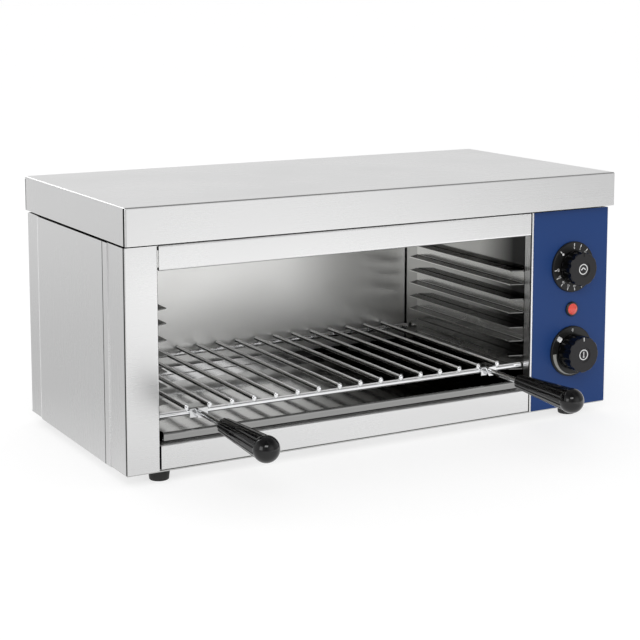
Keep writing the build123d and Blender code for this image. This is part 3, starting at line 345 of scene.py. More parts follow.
def brushed_sheet(name, colour, roughness, spacing, length, contrast, mottle, across=True, edge=0.0):
    """Sheet with fine brush lines, broad soft patches in its sheen and, if asked, a painted highlight
    along its cut edges. The lines' spacing and length and the width of that highlight are in millimetres."""
    material, tree, shader = surface(name, Metallic=1.0)
    vector = streaks(tree, spacing * MM, length * MM, across)
    lines = add(tree, "TexNoise", values={"Scale": 1.0, "Detail": 3.0, "Roughness": 0.6},
                links={"Vector": vector}).outputs["Fac"]
    fine = add(tree, "MapRange", links={"Value": lines},
               values={"From Min": 0.3, "From Max": 0.7, "To Min": roughness - contrast,
                       "To Max": roughness + contrast})
    broad = add(tree, "MapRange", links={"Value": grains(tree, 90, detail=2.0)},
                values={"From Min": 0.3, "From Max": 0.7, "To Min": -mottle, "To Max": mottle})
    total = add(tree, "Math", {"operation": "ADD"},
                links={0: fine.outputs["Result"], 1: broad.outputs["Result"]})
    tree.links.new(total.outputs[0], shader.inputs["Roughness"])
    tint = add(tree, "Mix", COLOURS,
               {COLOUR_A: rgba(shaded(colour, 1 - contrast)), COLOUR_B: rgba(colour)}, {"Factor": lines})
    # Painted highlight: white mixed in along the cut edges.
    if edge:
        tint = add(tree, "Mix", COLOURS, {COLOUR_B: rgba(HIGHLIGHT_WHITE)},
                   {"Factor": edge_mask(tree, edge), COLOUR_A: tint.outputs[COLOUR_MIX]})
    tree.links.new(tint.outputs[COLOUR_MIX], shader.inputs["Base Color"])
    bump = add(tree, "Bump", values={"Strength": 0.06, "Distance": 0.02 * MM}, links={"Height": lines})
    tree.links.new(bump.outputs["Normal"], shader.inputs["Normal"])
    return material


def speckled(name, colour, other, grain, roughness, spread, bump, height, **values):
    """Fine random grain that shades colour, gloss and height together. Grain and height are in
    millimetres, and the roughness varies by the spread, either way."""
    material, tree, shader = surface(name, **values)
    noise = grains(tree, grain)
    tint = add(tree, "Mix", COLOURS, {COLOUR_A: rgba(colour), COLOUR_B: rgba(other)}, {"Factor": noise})
    tree.links.new(tint.outputs[COLOUR_MIX], shader.inputs["Base Color"])
    gloss = add(tree, "MapRange", links={"Value": noise},
                values={"From Min": 0.3, "From Max": 0.7, "To Min": roughness - spread,
                        "To Max": roughness + spread})
    tree.links.new(gloss.outputs["Result"], shader.inputs["Roughness"])
    relief = add(tree, "Bump", values={"Strength": bump, "Distance": height * MM}, links={"Height": noise})
    tree.links.new(relief.outputs["Normal"], shader.inputs["Normal"])
    return material


def fade(material, axis, start, end):
    """A mask from nought to one along an axis, from one place to another."""
    tree = material.node_tree
    return add(tree, "MapRange", values={"From Min": start, "From Max": end},
               links={"Value": place_along(tree, axis)}).outputs["Result"]


def band(material, axis, place, reach, within=None):
    """A mask of one as far as reach either side of a place along an axis, if asked within another."""
    tree = material.node_tree
    near = add(tree, "Math", {"operation": "COMPARE"}, {1: place, 2: reach},
               {0: place_along(tree, axis)}).outputs[0]
    if within is None:
        return near
    return add(tree, "Math", {"operation": "MULTIPLY"}, links={0: within, 1: near}).outputs[0]


def facing(material, axis, start=0.35, end=0.8):
    """A mask of one on the faces that look along an axis, either way, and nought on the others."""
    tree = material.node_tree
    return add(tree, "MapRange", values={"From Min": start, "From Max": end},
               links={"Value": squareness(tree, axis, "Normal")}).outputs["Result"]


def tinted(material, mask, colour, glancing=False):
    """Mixes another colour into a material where the mask is one, if asked at glancing angles too."""
    tree, shader = shader_of(material)
    under = shader.inputs["Base Color"].links[0].from_socket
    tint = add(tree, "Mix", COLOURS, {COLOUR_B: rgba(colour)}, {"Factor": mask, COLOUR_A: under})
    tree.links.new(tint.outputs[COLOUR_MIX], shader.inputs["Base Color"])
    if glancing:
        rim = shader.inputs["Specular Tint"]
        before = {COLOUR_A: link.from_socket for link in rim.links}
        sheen = add(tree, "Mix", COLOURS, {COLOUR_A: grey(1.0), COLOUR_B: rgba(colour)},
                    {"Factor": mask, **before})
        tree.links.new(sheen.outputs[COLOUR_MIX], rim)


def paint_highlight(material, mask):
    """A painted white highlight where the mask is one, on a cut edge or on a wire's top."""
    tinted(material, mask, HIGHLIGHT_WHITE)
    tree, shader = shader_of(material)
    metal = add(tree, "Math", {"operation": "SUBTRACT"}, {0: 1.0}, {1: mask})
    tree.links.new(metal.outputs[0], shader.inputs["Metallic"])


# ---- sizes and colours
def length_setting(name, description, millimetres):
    """A size that a user may change."""
    return FloatProperty(name=name, description=description, default=millimetres * MM, unit="LENGTH",
                         precision=5)


def colour_setting(name, description, code):
    """A colour that a user may change."""
    return FloatVectorProperty(name=name, description=description, default=linear(code), subtype="COLOR")


class MelterPrints(PropertyGroup):
    depth: length_setting("Print thickness", "How far the prints stand on their plate", 0.12)
    tick_width: length_setting("Tick width", "Width of a scale tick", 0.95)
    tick_length: length_setting("Tick length", "Length of a scale tick", 3.4)
    rim: length_setting("Scale rim", "From a dial's edge to the outer end of its marks", 1.9)
    figure: length_setting("Figure height", "Height of the scale's figures", 2.7)
    steps: IntProperty(name="Timer steps", description="Steps from zero to the timer's end", default=12)
    minutes: IntProperty(name="Minutes", description="Minutes in a step of the timer's scale", default=5)
    square: length_setting("Square", "Side of the thermostat's printed square", 5.8)
    crescent: length_setting("Crescent", "Eccentricity of the thermostat's crescent", 3.2)
    ring: length_setting("Ring", "Outer radius of the ring round a knob's symbol", 6.2)
    stroke: length_setting("Stroke", "Line width of the ring and the symbols", 1.1)
    dish: length_setting("Dish", "How deep the dished part of a knob's face lies", 0.6)
    pointer_width: length_setting("Pointer width", "Width of the thermostat's pointer", 1.8)
    pointer_length: length_setting("Pointer length", "Length of the thermostat's pointer", 4.2)
    pointer_inset: length_setting("Pointer inset", "From the knob's top to the pointer's middle", 2.9)


class MelterWelds(PropertyGroup):
    rods: IntProperty(name="Rods", description="Number of rods in the grid", default=16)
    rod: length_setting("Rod", "Diameter of a rod", 5.0)
    width: length_setting("Width", "Width of a rod's upset end", 5.4)
    height: length_setting("Height", "Height of a rod's upset end", 7.6)
    depth: length_setting("Depth", "How far a rod's upset end stands out", 1.4)


class MelterColours(PropertyGroup):
    skin: colour_setting("Skin", "Satin stainless of lid, posts and covers", "ECECEC")
    panel: colour_setting("Panel", "Mill-finish stainless of the bottom", "CFCFCE")
    chamber: colour_setting("Chamber", "Stainless of the chamber's back wall and rails", "FAFAF8")
    wall: colour_setting("Walls", "Bright-annealed sheet of the chamber's side walls", "D0D0CE")
    roof: colour_setting("Roof", "Heat-stained reflector over the elements", "E4E2DC")
    tray: colour_setting("Tray", "Polished crumb tray", "E8E8E8")
    chrome: colour_setting("Chrome", "Chromed grid wire", "F7F8F9")
    zinc: colour_setting("Zinc", "Bright zinc of handle irons and screws", "E6E7E8")
    blue: colour_setting("Blue", "Powder coat on the control plate", "1B3D76")
    grip: colour_setting("Grip", "Black phenolic grips", "070708")
    dial: colour_setting("Dial", "Dial plates behind the knobs", "161616")
    knob: colour_setting("Knob", "Faces of the knobs", "201F21")
    white_ink: colour_setting("White ink", "White print on dials and knobs", "EDEDED")
    grey_ink: colour_setting("Grey ink", "Grey print of the crescent", "A4A4A0")
    lens: colour_setting("Lens", "Pilot lamp's lens", "F4584C")


class MelterStage(PropertyGroup):
    floor: FloatProperty(name="Floor", description="Side of the floor", default=60.0, unit="LENGTH")
    key: FloatProperty(name="Key light", description="Power of the soft box above the camera",
                       default=16.0, unit="POWER")
    fill: FloatProperty(name="Fill light", description="Power of the soft box on the left",
                        default=6.0, unit="POWER")
    rim: FloatProperty(name="Rim light", description="Power of the strip behind the lid's left edge",
                       default=4.0, unit="POWER")
    lens: FloatProperty(name="Lens", description="Focal length of the camera", default=89.98, unit="CAMERA")


# ---- finishes
LID_GAP = 3.0 * MM              # between the skin and the lid
FOLD_INSET = 1.2 * MM           # from a post's front to its fold
# The lid's open corner slits: how far back their middle lies, and half their width.
SLIT_ON_ENDS = (3.2 * MM, 1.8 * MM)
SLIT_ON_FRONT = (4.0 * MM, 0.3 * MM)
# Half the drawn width of the painted shadows and of the painted highlight on the side cover's rear edge.
LID_SHADOW = 1.3 * MM
END_SHADOW = 1.5 * MM
SEAM_SHADOW = 0.8 * MM
EDGE_HIGHLIGHT = 1.3 * MM
SQUARE_ON = (0.8, 0.9)          # how squarely a face looks along an axis to be shadowed


class MELTER_OT_skin(Operator):
    """Satin stainless on the lid and the skin, plainer sheet below"""
    bl_idname = "melter.skin"
    bl_label = "Body sheet"

    def execute(self, context):
        colours = context.scene.melter_colours
        # Stainless with a fine satin brush: even, pale, with a soft broad sheen. Its cut edges carry a
        #         painted white highlight; it is drawn 1.4 mm wide, not 0.3 mm, so that it shows.
        satin = {"roughness": 0.28, "spacing": 0.9, "length": 160, "contrast": 0.015, "mottle": 0.02,
                 "edge": 1.4}
        skin = brushed_sheet("satin_stainless", colours.skin, **satin)
        self.gaps(skin)
        dress(skin, "top_cover", "header", "sill")
        # The same sheet with the seams of the sides: painted shade in the folds, a painted highlight on the
        # cut.
        sides = brushed_sheet("satin_stainless_sides", colours.skin, **satin)
        self.seams(sides)
        dress(sides, "left_front_post", "right_front_post", "left_side_cover", "right_side_cover",
              "rear_panel")
        # Mill-finish stainless: greyer, smoother, hardly any grain.
        panel = brushed_sheet("mill_stainless", colours.panel, roughness=0.36, spacing=1.4, length=90,
                              contrast=0.03, mottle=0.05)
        dress(panel, "base_plate")
        return {"FINISHED"}

    def gaps(self, skin):
        """Shadow in the gap under the lid, in its corner slits and beside the header and the sill."""
        lid_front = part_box("top_cover")[0].y
        header_low, header_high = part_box("header")
        ends, fronts = facing(skin, "X", *SQUARE_ON), facing(skin, "Y", *SQUARE_ON)
        shadows = [band(skin, "Z", header_high.z + LID_GAP / 2, LID_SHADOW),
                   band(skin, "X", header_low.x, END_SHADOW, ends),
                   band(skin, "X", header_high.x, END_SHADOW, ends)]
        for (inset, reach), side in ((SLIT_ON_ENDS, ends), (SLIT_ON_FRONT, fronts)):
            shadows.append(band(skin, "Y", lid_front + inset, reach, side))
        for shadow in shadows:
            tinted(skin, shadow, linear("242424"), glancing=True)

    def seams(self, sides):
        """Painted shade in the post's fold and behind its edge; painted highlight on the cover's rear edge.
        """
        post_low, post_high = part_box("left_front_post")
        for place in (post_low.y + FOLD_INSET, post_high.y):
            # Painted shade in the fold and behind the post's edge.
            tinted(sides, band(sides, "Y", place, SEAM_SHADOW), linear("505050"), glancing=True)
        cover_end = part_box("left_side_cover")[1].y
        # Painted white highlight on the side cover's rear edge.
        paint_highlight(sides, band(sides, "Y", cover_end, EDGE_HIGHLIGHT))


class MELTER_OT_chamber(Operator):
    """Stainless inside the chamber and a polished crumb tray"""
    bl_idname = "melter.chamber"
    bl_label = "Chamber sheet"

    def execute(self, context):
        colours = context.scene.melter_colours
        # Cold-rolled stainless of the back wall: soft, even reflections with faint mottling.
        back = brushed_sheet("cold_rolled_stainless", colours.chamber, roughness=0.34, spacing=1.6,
                             length=120, contrast=0.012, mottle=0.02, across=False)
        dress(back, "chamber_back", "grid_rests", "element_hangers")
        # Bright-annealed stainless of the side walls: nearly a mirror, with painted shade that darkens it
        #         towards the chamber's mouth.
        wall = brushed_sheet("bright_annealed_stainless", colours.wall, roughness=0.13, spacing=1.6,
                             length=120, contrast=0.02, mottle=0.03, across=False)
        tinted(wall, fade(wall, "Y", 30 * MM, -40 * MM), linear("363636"))
        dress(wall, "left_liner", "right_liner")
        # Rack rails of the same sheet as the back wall, with painted shade on their flats and, lighter,
        #         on their fronts.
        rail = brushed_sheet("worn_rail_stainless", colours.chamber, roughness=0.24, spacing=1.1,
                             length=60, contrast=0.03, mottle=0.05, across=False)
        tinted(rail, facing(rail, "Z"), linear("3A3A39"))
        tinted(rail, facing(rail, "Y"), linear("6A6A69"))
        dress(rail, *[f"{side}_rail_{level}" for side in ("left", "right") for level in range(1, 5)])
        # Reflector sheet over the elements: a soft mirror, faintly yellowed by their heat.
        roof = brushed_sheet("heat_stained_stainless", colours.roof, roughness=0.22, spacing=1.1,
                             length=60, contrast=0.04, mottle=0.06, across=False)
        dress(roof, "reflector")
        # Polished thin sheet with wiping marks: mirrors the grid and the chamber. Painted shade darkens it
        #         towards its right end and on its front lip.
        tray = brushed_sheet("polished_tray_sheet", colours.tray, roughness=0.09, spacing=1.6,
                             length=160, contrast=0.03, mottle=0.03, across=False)
        tinted(tray, fade(tray, "X", -60 * MM, 60 * MM), linear("747473"), glancing=True)
        tinted(tray, fade(tray, "Y", -56 * MM, -62 * MM), linear("9C9C9B"), glancing=True)
        dress(tray, "crumb_tray")
        return {"FINISHED"}


class MELTER_OT_grid(Operator):
    """Chrome on the wire grid, bright zinc on the handle irons"""
    bl_idname = "melter.grid"
    bl_label = "Grid and handle irons"

    def execute(self, context):
        colours = context.scene.melter_colours
        wire = {"grain": 2.2, "roughness": 0.035, "spread": 0.01, "bump": 0.05, "height": 0.01,
                "Metallic": 1.0}
        # Chromed wire: near-mirror with faint drawing marks and a painted highlight along its top.
        chrome = speckled("chromed_wire", colours.chrome, shaded(colours.chrome, 0.94), **wire)
        paint_highlight(chrome, facing(chrome, "Z", 0.6, 0.95))
        dress(chrome, "grid_front_bar", "grid_back_bar")
        # The rods' chrome with painted shade on their flanks and a painted highlight along their tops; their
        # front ends stay plain chrome.
        rods = speckled("worn_chromed_wire", linear("343434"), linear("3C3C3C"), **wire)
        tinted(rods, facing(rods, "Z", 0.3, 0.6), HIGHLIGHT_WHITE, glancing=True)
        tinted(rods, facing(rods, "Y"), colours.chrome, glancing=True)
        paint_highlight(rods, facing(rods, "Z", 0.75, 0.95))
        dress(rods, "grid_rods")
        # Bright zinc: slightly bluer and cloudier than chrome.
        zinc = speckled("bright_zinc", colours.zinc, shaded(colours.zinc, 0.88), grain=1.6,
                        roughness=0.16, spread=0.05, bump=0.1, height=0.02, Metallic=1.0)
        dress(zinc, "left_handle_bracket", "right_handle_bracket", "left_handle_rod", "right_handle_rod",
              "handle_nuts", "foot_screws", "body_screws", "control_screws", "timer_shaft",
              "thermostat_shaft")
        return {"FINISHED"}


class MELTER_OT_welds(Operator):
    """Upset bright ends of the rods, in front of the grid's front bar"""
    bl_idname = "melter.welds"
    bl_label = "Rod ends"

    def execute(self, context):
        sizes = context.scene.melter_welds
        low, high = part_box("grid_rods")
        first, last = low.x + sizes.rod / 2, high.x - sizes.rod / 2
        place = Vector((first, low.y, (low.z + high.z) / 2))
        bpy.ops.object.select_all(action="DESELECT")
        bpy.ops.mesh.primitive_uv_sphere_add(segments=20, ring_count=10, radius=1, location=place)
        end = bpy.context.object
        settle(end)
        open_mesh(end)
        bpy.ops.transform.resize(value=(sizes.width / 2, sizes.depth, sizes.height / 2),
                                 center_override=place)
        close_mesh()
        bpy.ops.object.shade_smooth()
        ends = [end]
        for rod in range(1, sizes.rods):
            other = copy_of(end)
            other.data.transform(Matrix.Translation(((last - first) * rod / (sizes.rods - 1), 0, 0)))
            ends.append(other)
        fitted(joined(ends, "grid_welds"), bpy.data.materials["chromed_wire"], "grid")
        return {"FINISHED"}


class MELTER_OT_grips(Operator):
    """Glossy phenolic on the fluted grips"""
    bl_idname = "melter.grips"
    bl_label = "Handle grips"

    def execute(self, context):
        colour = context.scene.melter_colours.grip
        # Compression-moulded phenolic: deep black gloss with a faint waviness.
        grip = speckled("black_phenolic", colour, shaded(colour, 1.5), grain=3.0, roughness=0.08,
                        spread=0.02, bump=0.08, height=0.03, IOR=1.5)
        dress(grip, "left_handle_grip", "right_handle_grip")
        return {"FINISHED"}


SATIN_PLASTIC = {"IOR": 1.53, "Specular IOR Level": 0.3}      # the gloss of moulded ABS


class MELTER_OT_controls(Operator):
    """Blue plate, dial plates, knobs and the housings behind them"""
    bl_idname = "melter.controls"
    bl_label = "Control column"

    def execute(self, context):
        colours = context.scene.melter_colours
        # Smooth powder coat: satin blue with a very fine orange peel.
        blue = speckled("blue_powder_coat", colours.blue, shaded(colours.blue, 1.06), grain=1.1,
                        roughness=0.42, spread=0.04, bump=0.12, height=0.03,
                        **{"IOR": 1.5, "Specular IOR Level": 0.25})
        dress(blue, "control_fascia")
        # Moulded ABS with a satin face: charcoal, catches a broad weak sheen.
        dial = speckled("satin_abs", colours.dial, shaded(colours.dial, 1.25), grain=0.8,
                        roughness=0.4, spread=0.05, bump=0.1, height=0.02, **SATIN_PLASTIC)
        dress(dial, "timer_dial", "thermostat_dial")
        self.knobs(colours.knob)
        # Pale urea moulding of the housings behind the column: creamy, half-matt.
        case = speckled("pale_urea_moulding", linear("D9D2BF"), linear("CFC7B2"), grain=2.5,
                        roughness=0.45, spread=0.05, bump=0.15, height=0.05, IOR=1.55)
        dress(case, "timer_body", "thermostat_body", "lamp_body")
        return {"FINISHED"}

    def knobs(self, face):
        """Moulded knobs: finely grained face, glossy black flank."""
        material, tree, shader = surface("grained_knob_moulding", **SATIN_PLASTIC)
        noise = grains(tree, 0.7)
        front = add(tree, "MapRange", values={"From Min": -0.35, "From Max": -0.8},
                    links={"Value": look_along(tree, "Y", "True Normal")}).outputs["Result"]
        grain = add(tree, "Mix", COLOURS,
                    {COLOUR_A: rgba(shaded(face, 0.85)), COLOUR_B: rgba(shaded(face, 1.15))},
                    {"Factor": noise})
        tint = add(tree, "Mix", COLOURS, {COLOUR_A: rgba(linear("050505"))},
                   {"Factor": front, COLOUR_B: grain.outputs[COLOUR_MIX]})
        tree.links.new(tint.outputs[COLOUR_MIX], shader.inputs["Base Color"])
        gloss = add(tree, "MapRange", values={"To Min": 0.16, "To Max": 0.5}, links={"Value": front})
        tree.links.new(gloss.outputs["Result"], shader.inputs["Roughness"])
        relief = add(tree, "Bump", values={"Strength": 0.15, "Distance": 0.03 * MM}, links={"Height": noise})
        tree.links.new(relief.outputs["Normal"], shader.inputs["Normal"])
        dress(material, "timer_knob", "thermostat_knob")


class MELTER_OT_lamp(Operator):
    """Red lens in its dark bezel"""
    bl_idname = "melter.lamp"
    bl_label = "Pilot lamp"

    def execute(self, context):
        colour = context.scene.melter_colours.lens
        # Moulded red acrylic with a faceted underside: bright, slightly milky, glossy on top.
        material, tree, shader = surface("red_acrylic", Roughness=0.12, IOR=1.49)
        low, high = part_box("lamp_lens")
        moved = add(tree, "Mapping", {"vector_type": "TEXTURE"}, {"Location": (low + high) / 2},
                    {"Vector": add(tree, "TexCoord").outputs["Object"]})
        facets = add(tree, "TexVoronoi", {"feature": "F1"}, {"Scale": 1 / (2.4 * MM)},
                     {"Vector": moved.outputs["Vector"]}).outputs["Distance"]
        tint = add(tree, "Mix", COLOURS,
                   {COLOUR_A: rgba(colour), COLOUR_B: rgba(shaded(colour, 0.8))}, {"Factor": facets})
        tree.links.new(tint.outputs[COLOUR_MIX], shader.inputs["Base Color"])
        relief = add(tree, "Bump", values={"Strength": 0.3, "Distance": 0.1 * MM}, links={"Height": facets})
        tree.links.new(relief.outputs["Normal"], shader.inputs["Normal"])
        dress(material, "lamp_lens")
        # Black polyamide of bezel, gland and gland nut: half-matt, faintly mottled.
        black = speckled("black_polyamide", linear("161515"), linear("201F1F"), grain=1.2,
                         roughness=0.35, spread=0.06, bump=0.1, height=0.03, IOR=1.53)
        dress(black, "lamp_bezel", "cable_gland", "gland_nut")
        return {"FINISHED"}


class MELTER_OT_heating(Operator):
    """Heating elements, their fittings, the bulb and the ceramic parts"""
    bl_idname = "melter.heating"
    bl_label = "Heating parts"

    def execute(self, context):
        # Oxidised nickel-alloy sheath: dark, matt, with lighter rubbed patches.
        sheath = speckled("oxidised_sheath", linear("3A3836"), linear("5A5550"), grain=6.0,
                          roughness=0.55, spread=0.1, bump=0.3, height=0.05, Metallic=1.0)
        dress(sheath, "front_element", "rear_element")
        # Turned brass: warm, fairly bright, faint tool marks.
        brass = speckled("turned_brass", linear("C8A25A"), linear("B08C4A"), grain=0.9,
                         roughness=0.26, spread=0.05, bump=0.15, height=0.02, Metallic=1.0)
        dress(brass, "element_collars", "element_nuts", "element_terminals")
        # Drawn copper, a little browned by heat.
        copper = speckled("drawn_copper", linear("C9835F"), linear("9C5F43"), grain=7.0,
                          roughness=0.3, spread=0.08, bump=0.1, height=0.02, Metallic=1.0)
        dress(copper, "thermostat_bulb")
        # Unglazed steatite: chalky off-white.
        ceramic = speckled("unglazed_steatite", linear("DEDACD"), linear("D0CBBB"), grain=1.0,
                           roughness=0.7, spread=0.08, bump=0.25, height=0.05, IOR=1.56)
        dress(ceramic, "element_insulators", "terminal_block")
        return {"FINISHED"}


class MELTER_OT_feet(Operator):
    """Rubber feet"""
    bl_idname = "melter.feet"
    bl_label = "Feet"

    def execute(self, context):
        # Nitrile rubber: soft matt black with a dusty bloom.
        rubber = speckled("nitrile_rubber", linear("141414"), linear("1F1F1E"), grain=1.5,
                          roughness=0.62, spread=0.08, bump=0.3, height=0.05, IOR=1.52)
        dress(rubber, "feet")
        return {"FINISHED"}


# ---- prints
def ink_of(colours, name="white_ink"):
    """Screen-printed ink: opaque and matt, a little uneven in its thickness."""
    colour = getattr(colours, name)
    return bpy.data.materials.get(name) or speckled(name, colour, shaded(colour, 0.9), grain=0.5,
                                                    roughness=0.55, spread=0.05, bump=0.2, height=0.02,
                                                    IOR=1.5)


def dial_place(name, prints):
    """Middle of a dial's printed face, and the radius of its marks' outer ends."""
    low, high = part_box(name)
    return front_middle(name), (high.x - low.x) / 2 - prints.rim


class MELTER_OT_timer_scale(Operator):
    """Ticks and minutes on the timer's dial, with a mark for the hold position"""
    bl_idname = "melter.timer_scale"
    bl_label = "Timer scale"

    def execute(self, context):
        prints = context.scene.melter_prints
        centre, reach = dial_place("timer_dial", prints)
        hold, full = turn_range("timer_turn")
        tick = bar(centre + up(reach - prints.tick_length / 2), prints.tick_width, prints.tick_length,
                   prints.depth)
        inside = centre + up(reach - prints.tick_length - 0.75 * prints.figure)
        pieces = []
        for step in range(prints.steps + 1):
            angle = full / prints.steps * step
            pieces.append(turned(copy_of(tick), centre, angle))
            figure = printed_text(str(prints.minutes * step), inside, prints.figure, prints.depth)
            pieces.append(turned(figure, centre, angle))
        pieces.append(turned(copy_of(tick), centre, hold))
        pieces.append(turned(disc(inside, prints.figure / 2, prints.depth), centre, hold))
        bpy.data.objects.remove(tick)
        ink = ink_of(context.scene.melter_colours)
        fitted(joined(pieces, "timer_scale"), ink, "body")
        return {"FINISHED"}


class MELTER_OT_thermostat_scale(Operator):
    """Zero, square and crescent on the thermostat's dial"""
    bl_idname = "melter.thermostat_scale"
    bl_label = "Thermostat scale"

    def execute(self, context):
        prints = context.scene.melter_prints
        colours = context.scene.melter_colours
        centre, reach = dial_place("thermostat_dial", prints)
        hottest = turn_range("thermostat_turn")[1]
        zero = printed_text("0", centre + up(reach - 0.8 * prints.tick_length), prints.tick_length,
                            prints.depth)
        square = bar(centre + up(reach - prints.square / 2), prints.square, prints.square, prints.depth)
        marks = joined([zero, turned(square, centre, hottest)], "thermostat_marks")
        fitted(marks, ink_of(colours), "body")
        crescent = self.crescent(prints, centre, reach)
        fitted(crescent, ink_of(colours, "grey_ink"), "body")
        return {"FINISHED"}

    def crescent(self, prints, centre, reach):
        """A disc less an eccentric disc, cut off square at both ends."""
        thin, wide = math.radians(150), math.radians(267)       # its ends, clockwise from the top
        away = Vector((math.sin(thin), 0, math.cos(thin)))
        piece = disc(centre, reach, prints.depth, vertices=128)
        cutter = disc(centre + away * prints.crescent - FRONT * prints.depth, reach - prints.crescent,
                      3 * prints.depth, vertices=128)
        cut = piece.modifiers.new("cut", "BOOLEAN")
        cut.object = cutter
        cut.operation = "DIFFERENCE"
        select_only(piece)
        bpy.ops.object.modifier_apply(modifier=cut.name)
        bpy.data.objects.remove(cutter)
        open_mesh(piece)
        for angle, side in ((thin, -1), (wide, 1)):
            across = Vector((math.cos(angle), 0, -math.sin(angle))) * side
            bpy.ops.mesh.select_all(action="SELECT")
            bpy.ops.mesh.bisect(plane_co=centre, plane_no=across, clear_outer=True, use_fill=True)
        close_mesh()
        piece.name = piece.data.name = "thermostat_crescent"
        return piece


class MELTER_OT_timer_symbol(Operator):
    """Ring with two clock hands on the timer's knob"""
    bl_idname = "melter.timer_symbol"
    bl_label = "Timer symbol"

    def execute(self, context):
        prints = context.scene.melter_prints
        centre = front_middle("timer_knob", prints.dish)
        apex = centre + up(0.3 * prints.ring)
        hand_length = 0.75 * prints.ring
        pieces = [ring(centre, prints.ring, prints.stroke, prints.depth)]
        hand_angles = (128, 232)        # clockwise from the top
        for angle in hand_angles:
            hand = bar(apex + up(hand_length / 2 - prints.stroke / 2), 1.2 * prints.stroke, hand_length,
                       prints.depth)
            pieces.append(turned(hand, apex, angle))
        ink = ink_of(context.scene.melter_colours)
        fitted(joined(pieces, "timer_symbol"), ink, "timer")
        return {"FINISHED"}


class MELTER_OT_thermostat_symbol(Operator):
    """Ring with a small thermometer, and the white pointer, on the thermostat's knob"""
    bl_idname = "melter.thermostat_symbol"
    bl_label = "Thermostat symbol"

    def execute(self, context):
        prints = context.scene.melter_prints
        centre = front_middle("thermostat_knob", prints.dish)
        stem = bar(centre + up(0.12 * prints.ring), prints.stroke, prints.ring, prints.depth)
        bulb = disc(centre - up(0.38 * prints.ring), prints.stroke, prints.depth)
        top = Vector((centre.x, centre.y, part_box("thermostat_knob")[1].z - prints.pointer_inset))
        pointer = bar(top, prints.pointer_width, prints.pointer_length, 2 * prints.depth)
        pieces = [ring(centre, prints.ring, prints.stroke, prints.depth), stem, bulb, pointer]
        ink = ink_of(context.scene.melter_colours)
        fitted(joined(pieces, "thermostat_symbol"), ink, "thermostat")
        return {"FINISHED"}


# ---- stage
# The camera's place, and its direction in degrees, from the fit to the photograph.
CAMERA_PLACE = Vector((-896.1, -1536.4, 509.6)) * MM
CAMERA_AZIMUTH = -29.15
CAMERA_ELEVATION = 7.64
CAMERA_SHIFT = -0.1955          # puts the object at the photograph's height in the frame
CAMERA_RANGE = 200              # metres, past the floor's far edge
AIM = Vector((0, 0, 0.14))      # what the lamps look at: the middle of the body

# Brightness of the room's walls in reflections, by the turn round the object: nought is on the
# left, a quarter in front, a half on the right and three quarters behind.
WALL_BRIGHTNESS = ((0.08, 0.5), (0.17, 0.26), (0.22, 0.42), (0.27, 0.8), (0.30, 0.87), (0.325, 0.87),
                   (0.35, 0.72), (0.375, 0.48), (0.64, 0.8), (0.70, 0.84), (0.81, 0.65))
LEFT_BRIGHTNESS = 0.64
ROOM_LIGHT = 0.92               # the room's strength as a light on the object
CARD_BRIGHTNESS = 1.3           # of the white card on the floor
CARD_SIDE = (0.8, -0.6, 0.0)    # towards the card, from the object: in front on the right

# The floor's grey as a source of light, as the camera sees it and as metal mirrors it, and the glow
# that brings it up to white in the picture but for the shadow.
FLOOR_GREY = 0.62
FLOOR_GREY_SEEN = 0.36
FLOOR_GREY_MIRRORED = 0.12
FLOOR_GLOW_SEEN = 0.66


def surround(tree, vector):
    """How bright the studio is in a direction, for reflections: a dark ceiling, a dark camera
    side, a white bounce at the front right and pale walls at the sides and behind."""
    around = add(tree, "TexGradient", {"gradient_type": "RADIAL"}, links={"Vector": vector})
    ramp = add(tree, "ValToRGB", links={"Fac": around.outputs["Fac"]})
    stops = ramp.color_ramp.elements
    stops[1].position = 1.0
    stops[0].color = stops[1].color = grey(LEFT_BRIGHTNESS)
    for place, level in WALL_BRIGHTNESS:
        stops.new(place).color = grey(level)
    towards = add(tree, "VectorMath", {"operation": "NORMALIZE"}, links={0: vector})
    height = add(tree, "SeparateXYZ", links={"Vector": towards.outputs["Vector"]})
    ceiling = add(tree, "MapRange", links={"Value": height.outputs["Z"]},
                  values={"From Min": 0.35, "From Max": 0.75, "To Min": 1.0, "To Max": 0.3})
    level = add(tree, "Math", {"operation": "MULTIPLY"},
                links={0: ramp.outputs["Color"], 1: ceiling.outputs["Result"]})
    return level.outputs[0]


def seen_rays(tree):
    """Two masks: one of the camera's own rays, one of rays from a reflection or a clear part."""
    path = add(tree, "LightPath").outputs
    mirrored = add(tree, "Math", {"operation": "MAXIMUM"},
                   links={0: path["Is Glossy Ray"], 1: path["Is Transmission Ray"]})
    return path["Is Camera Ray"], mirrored.outputs[0]


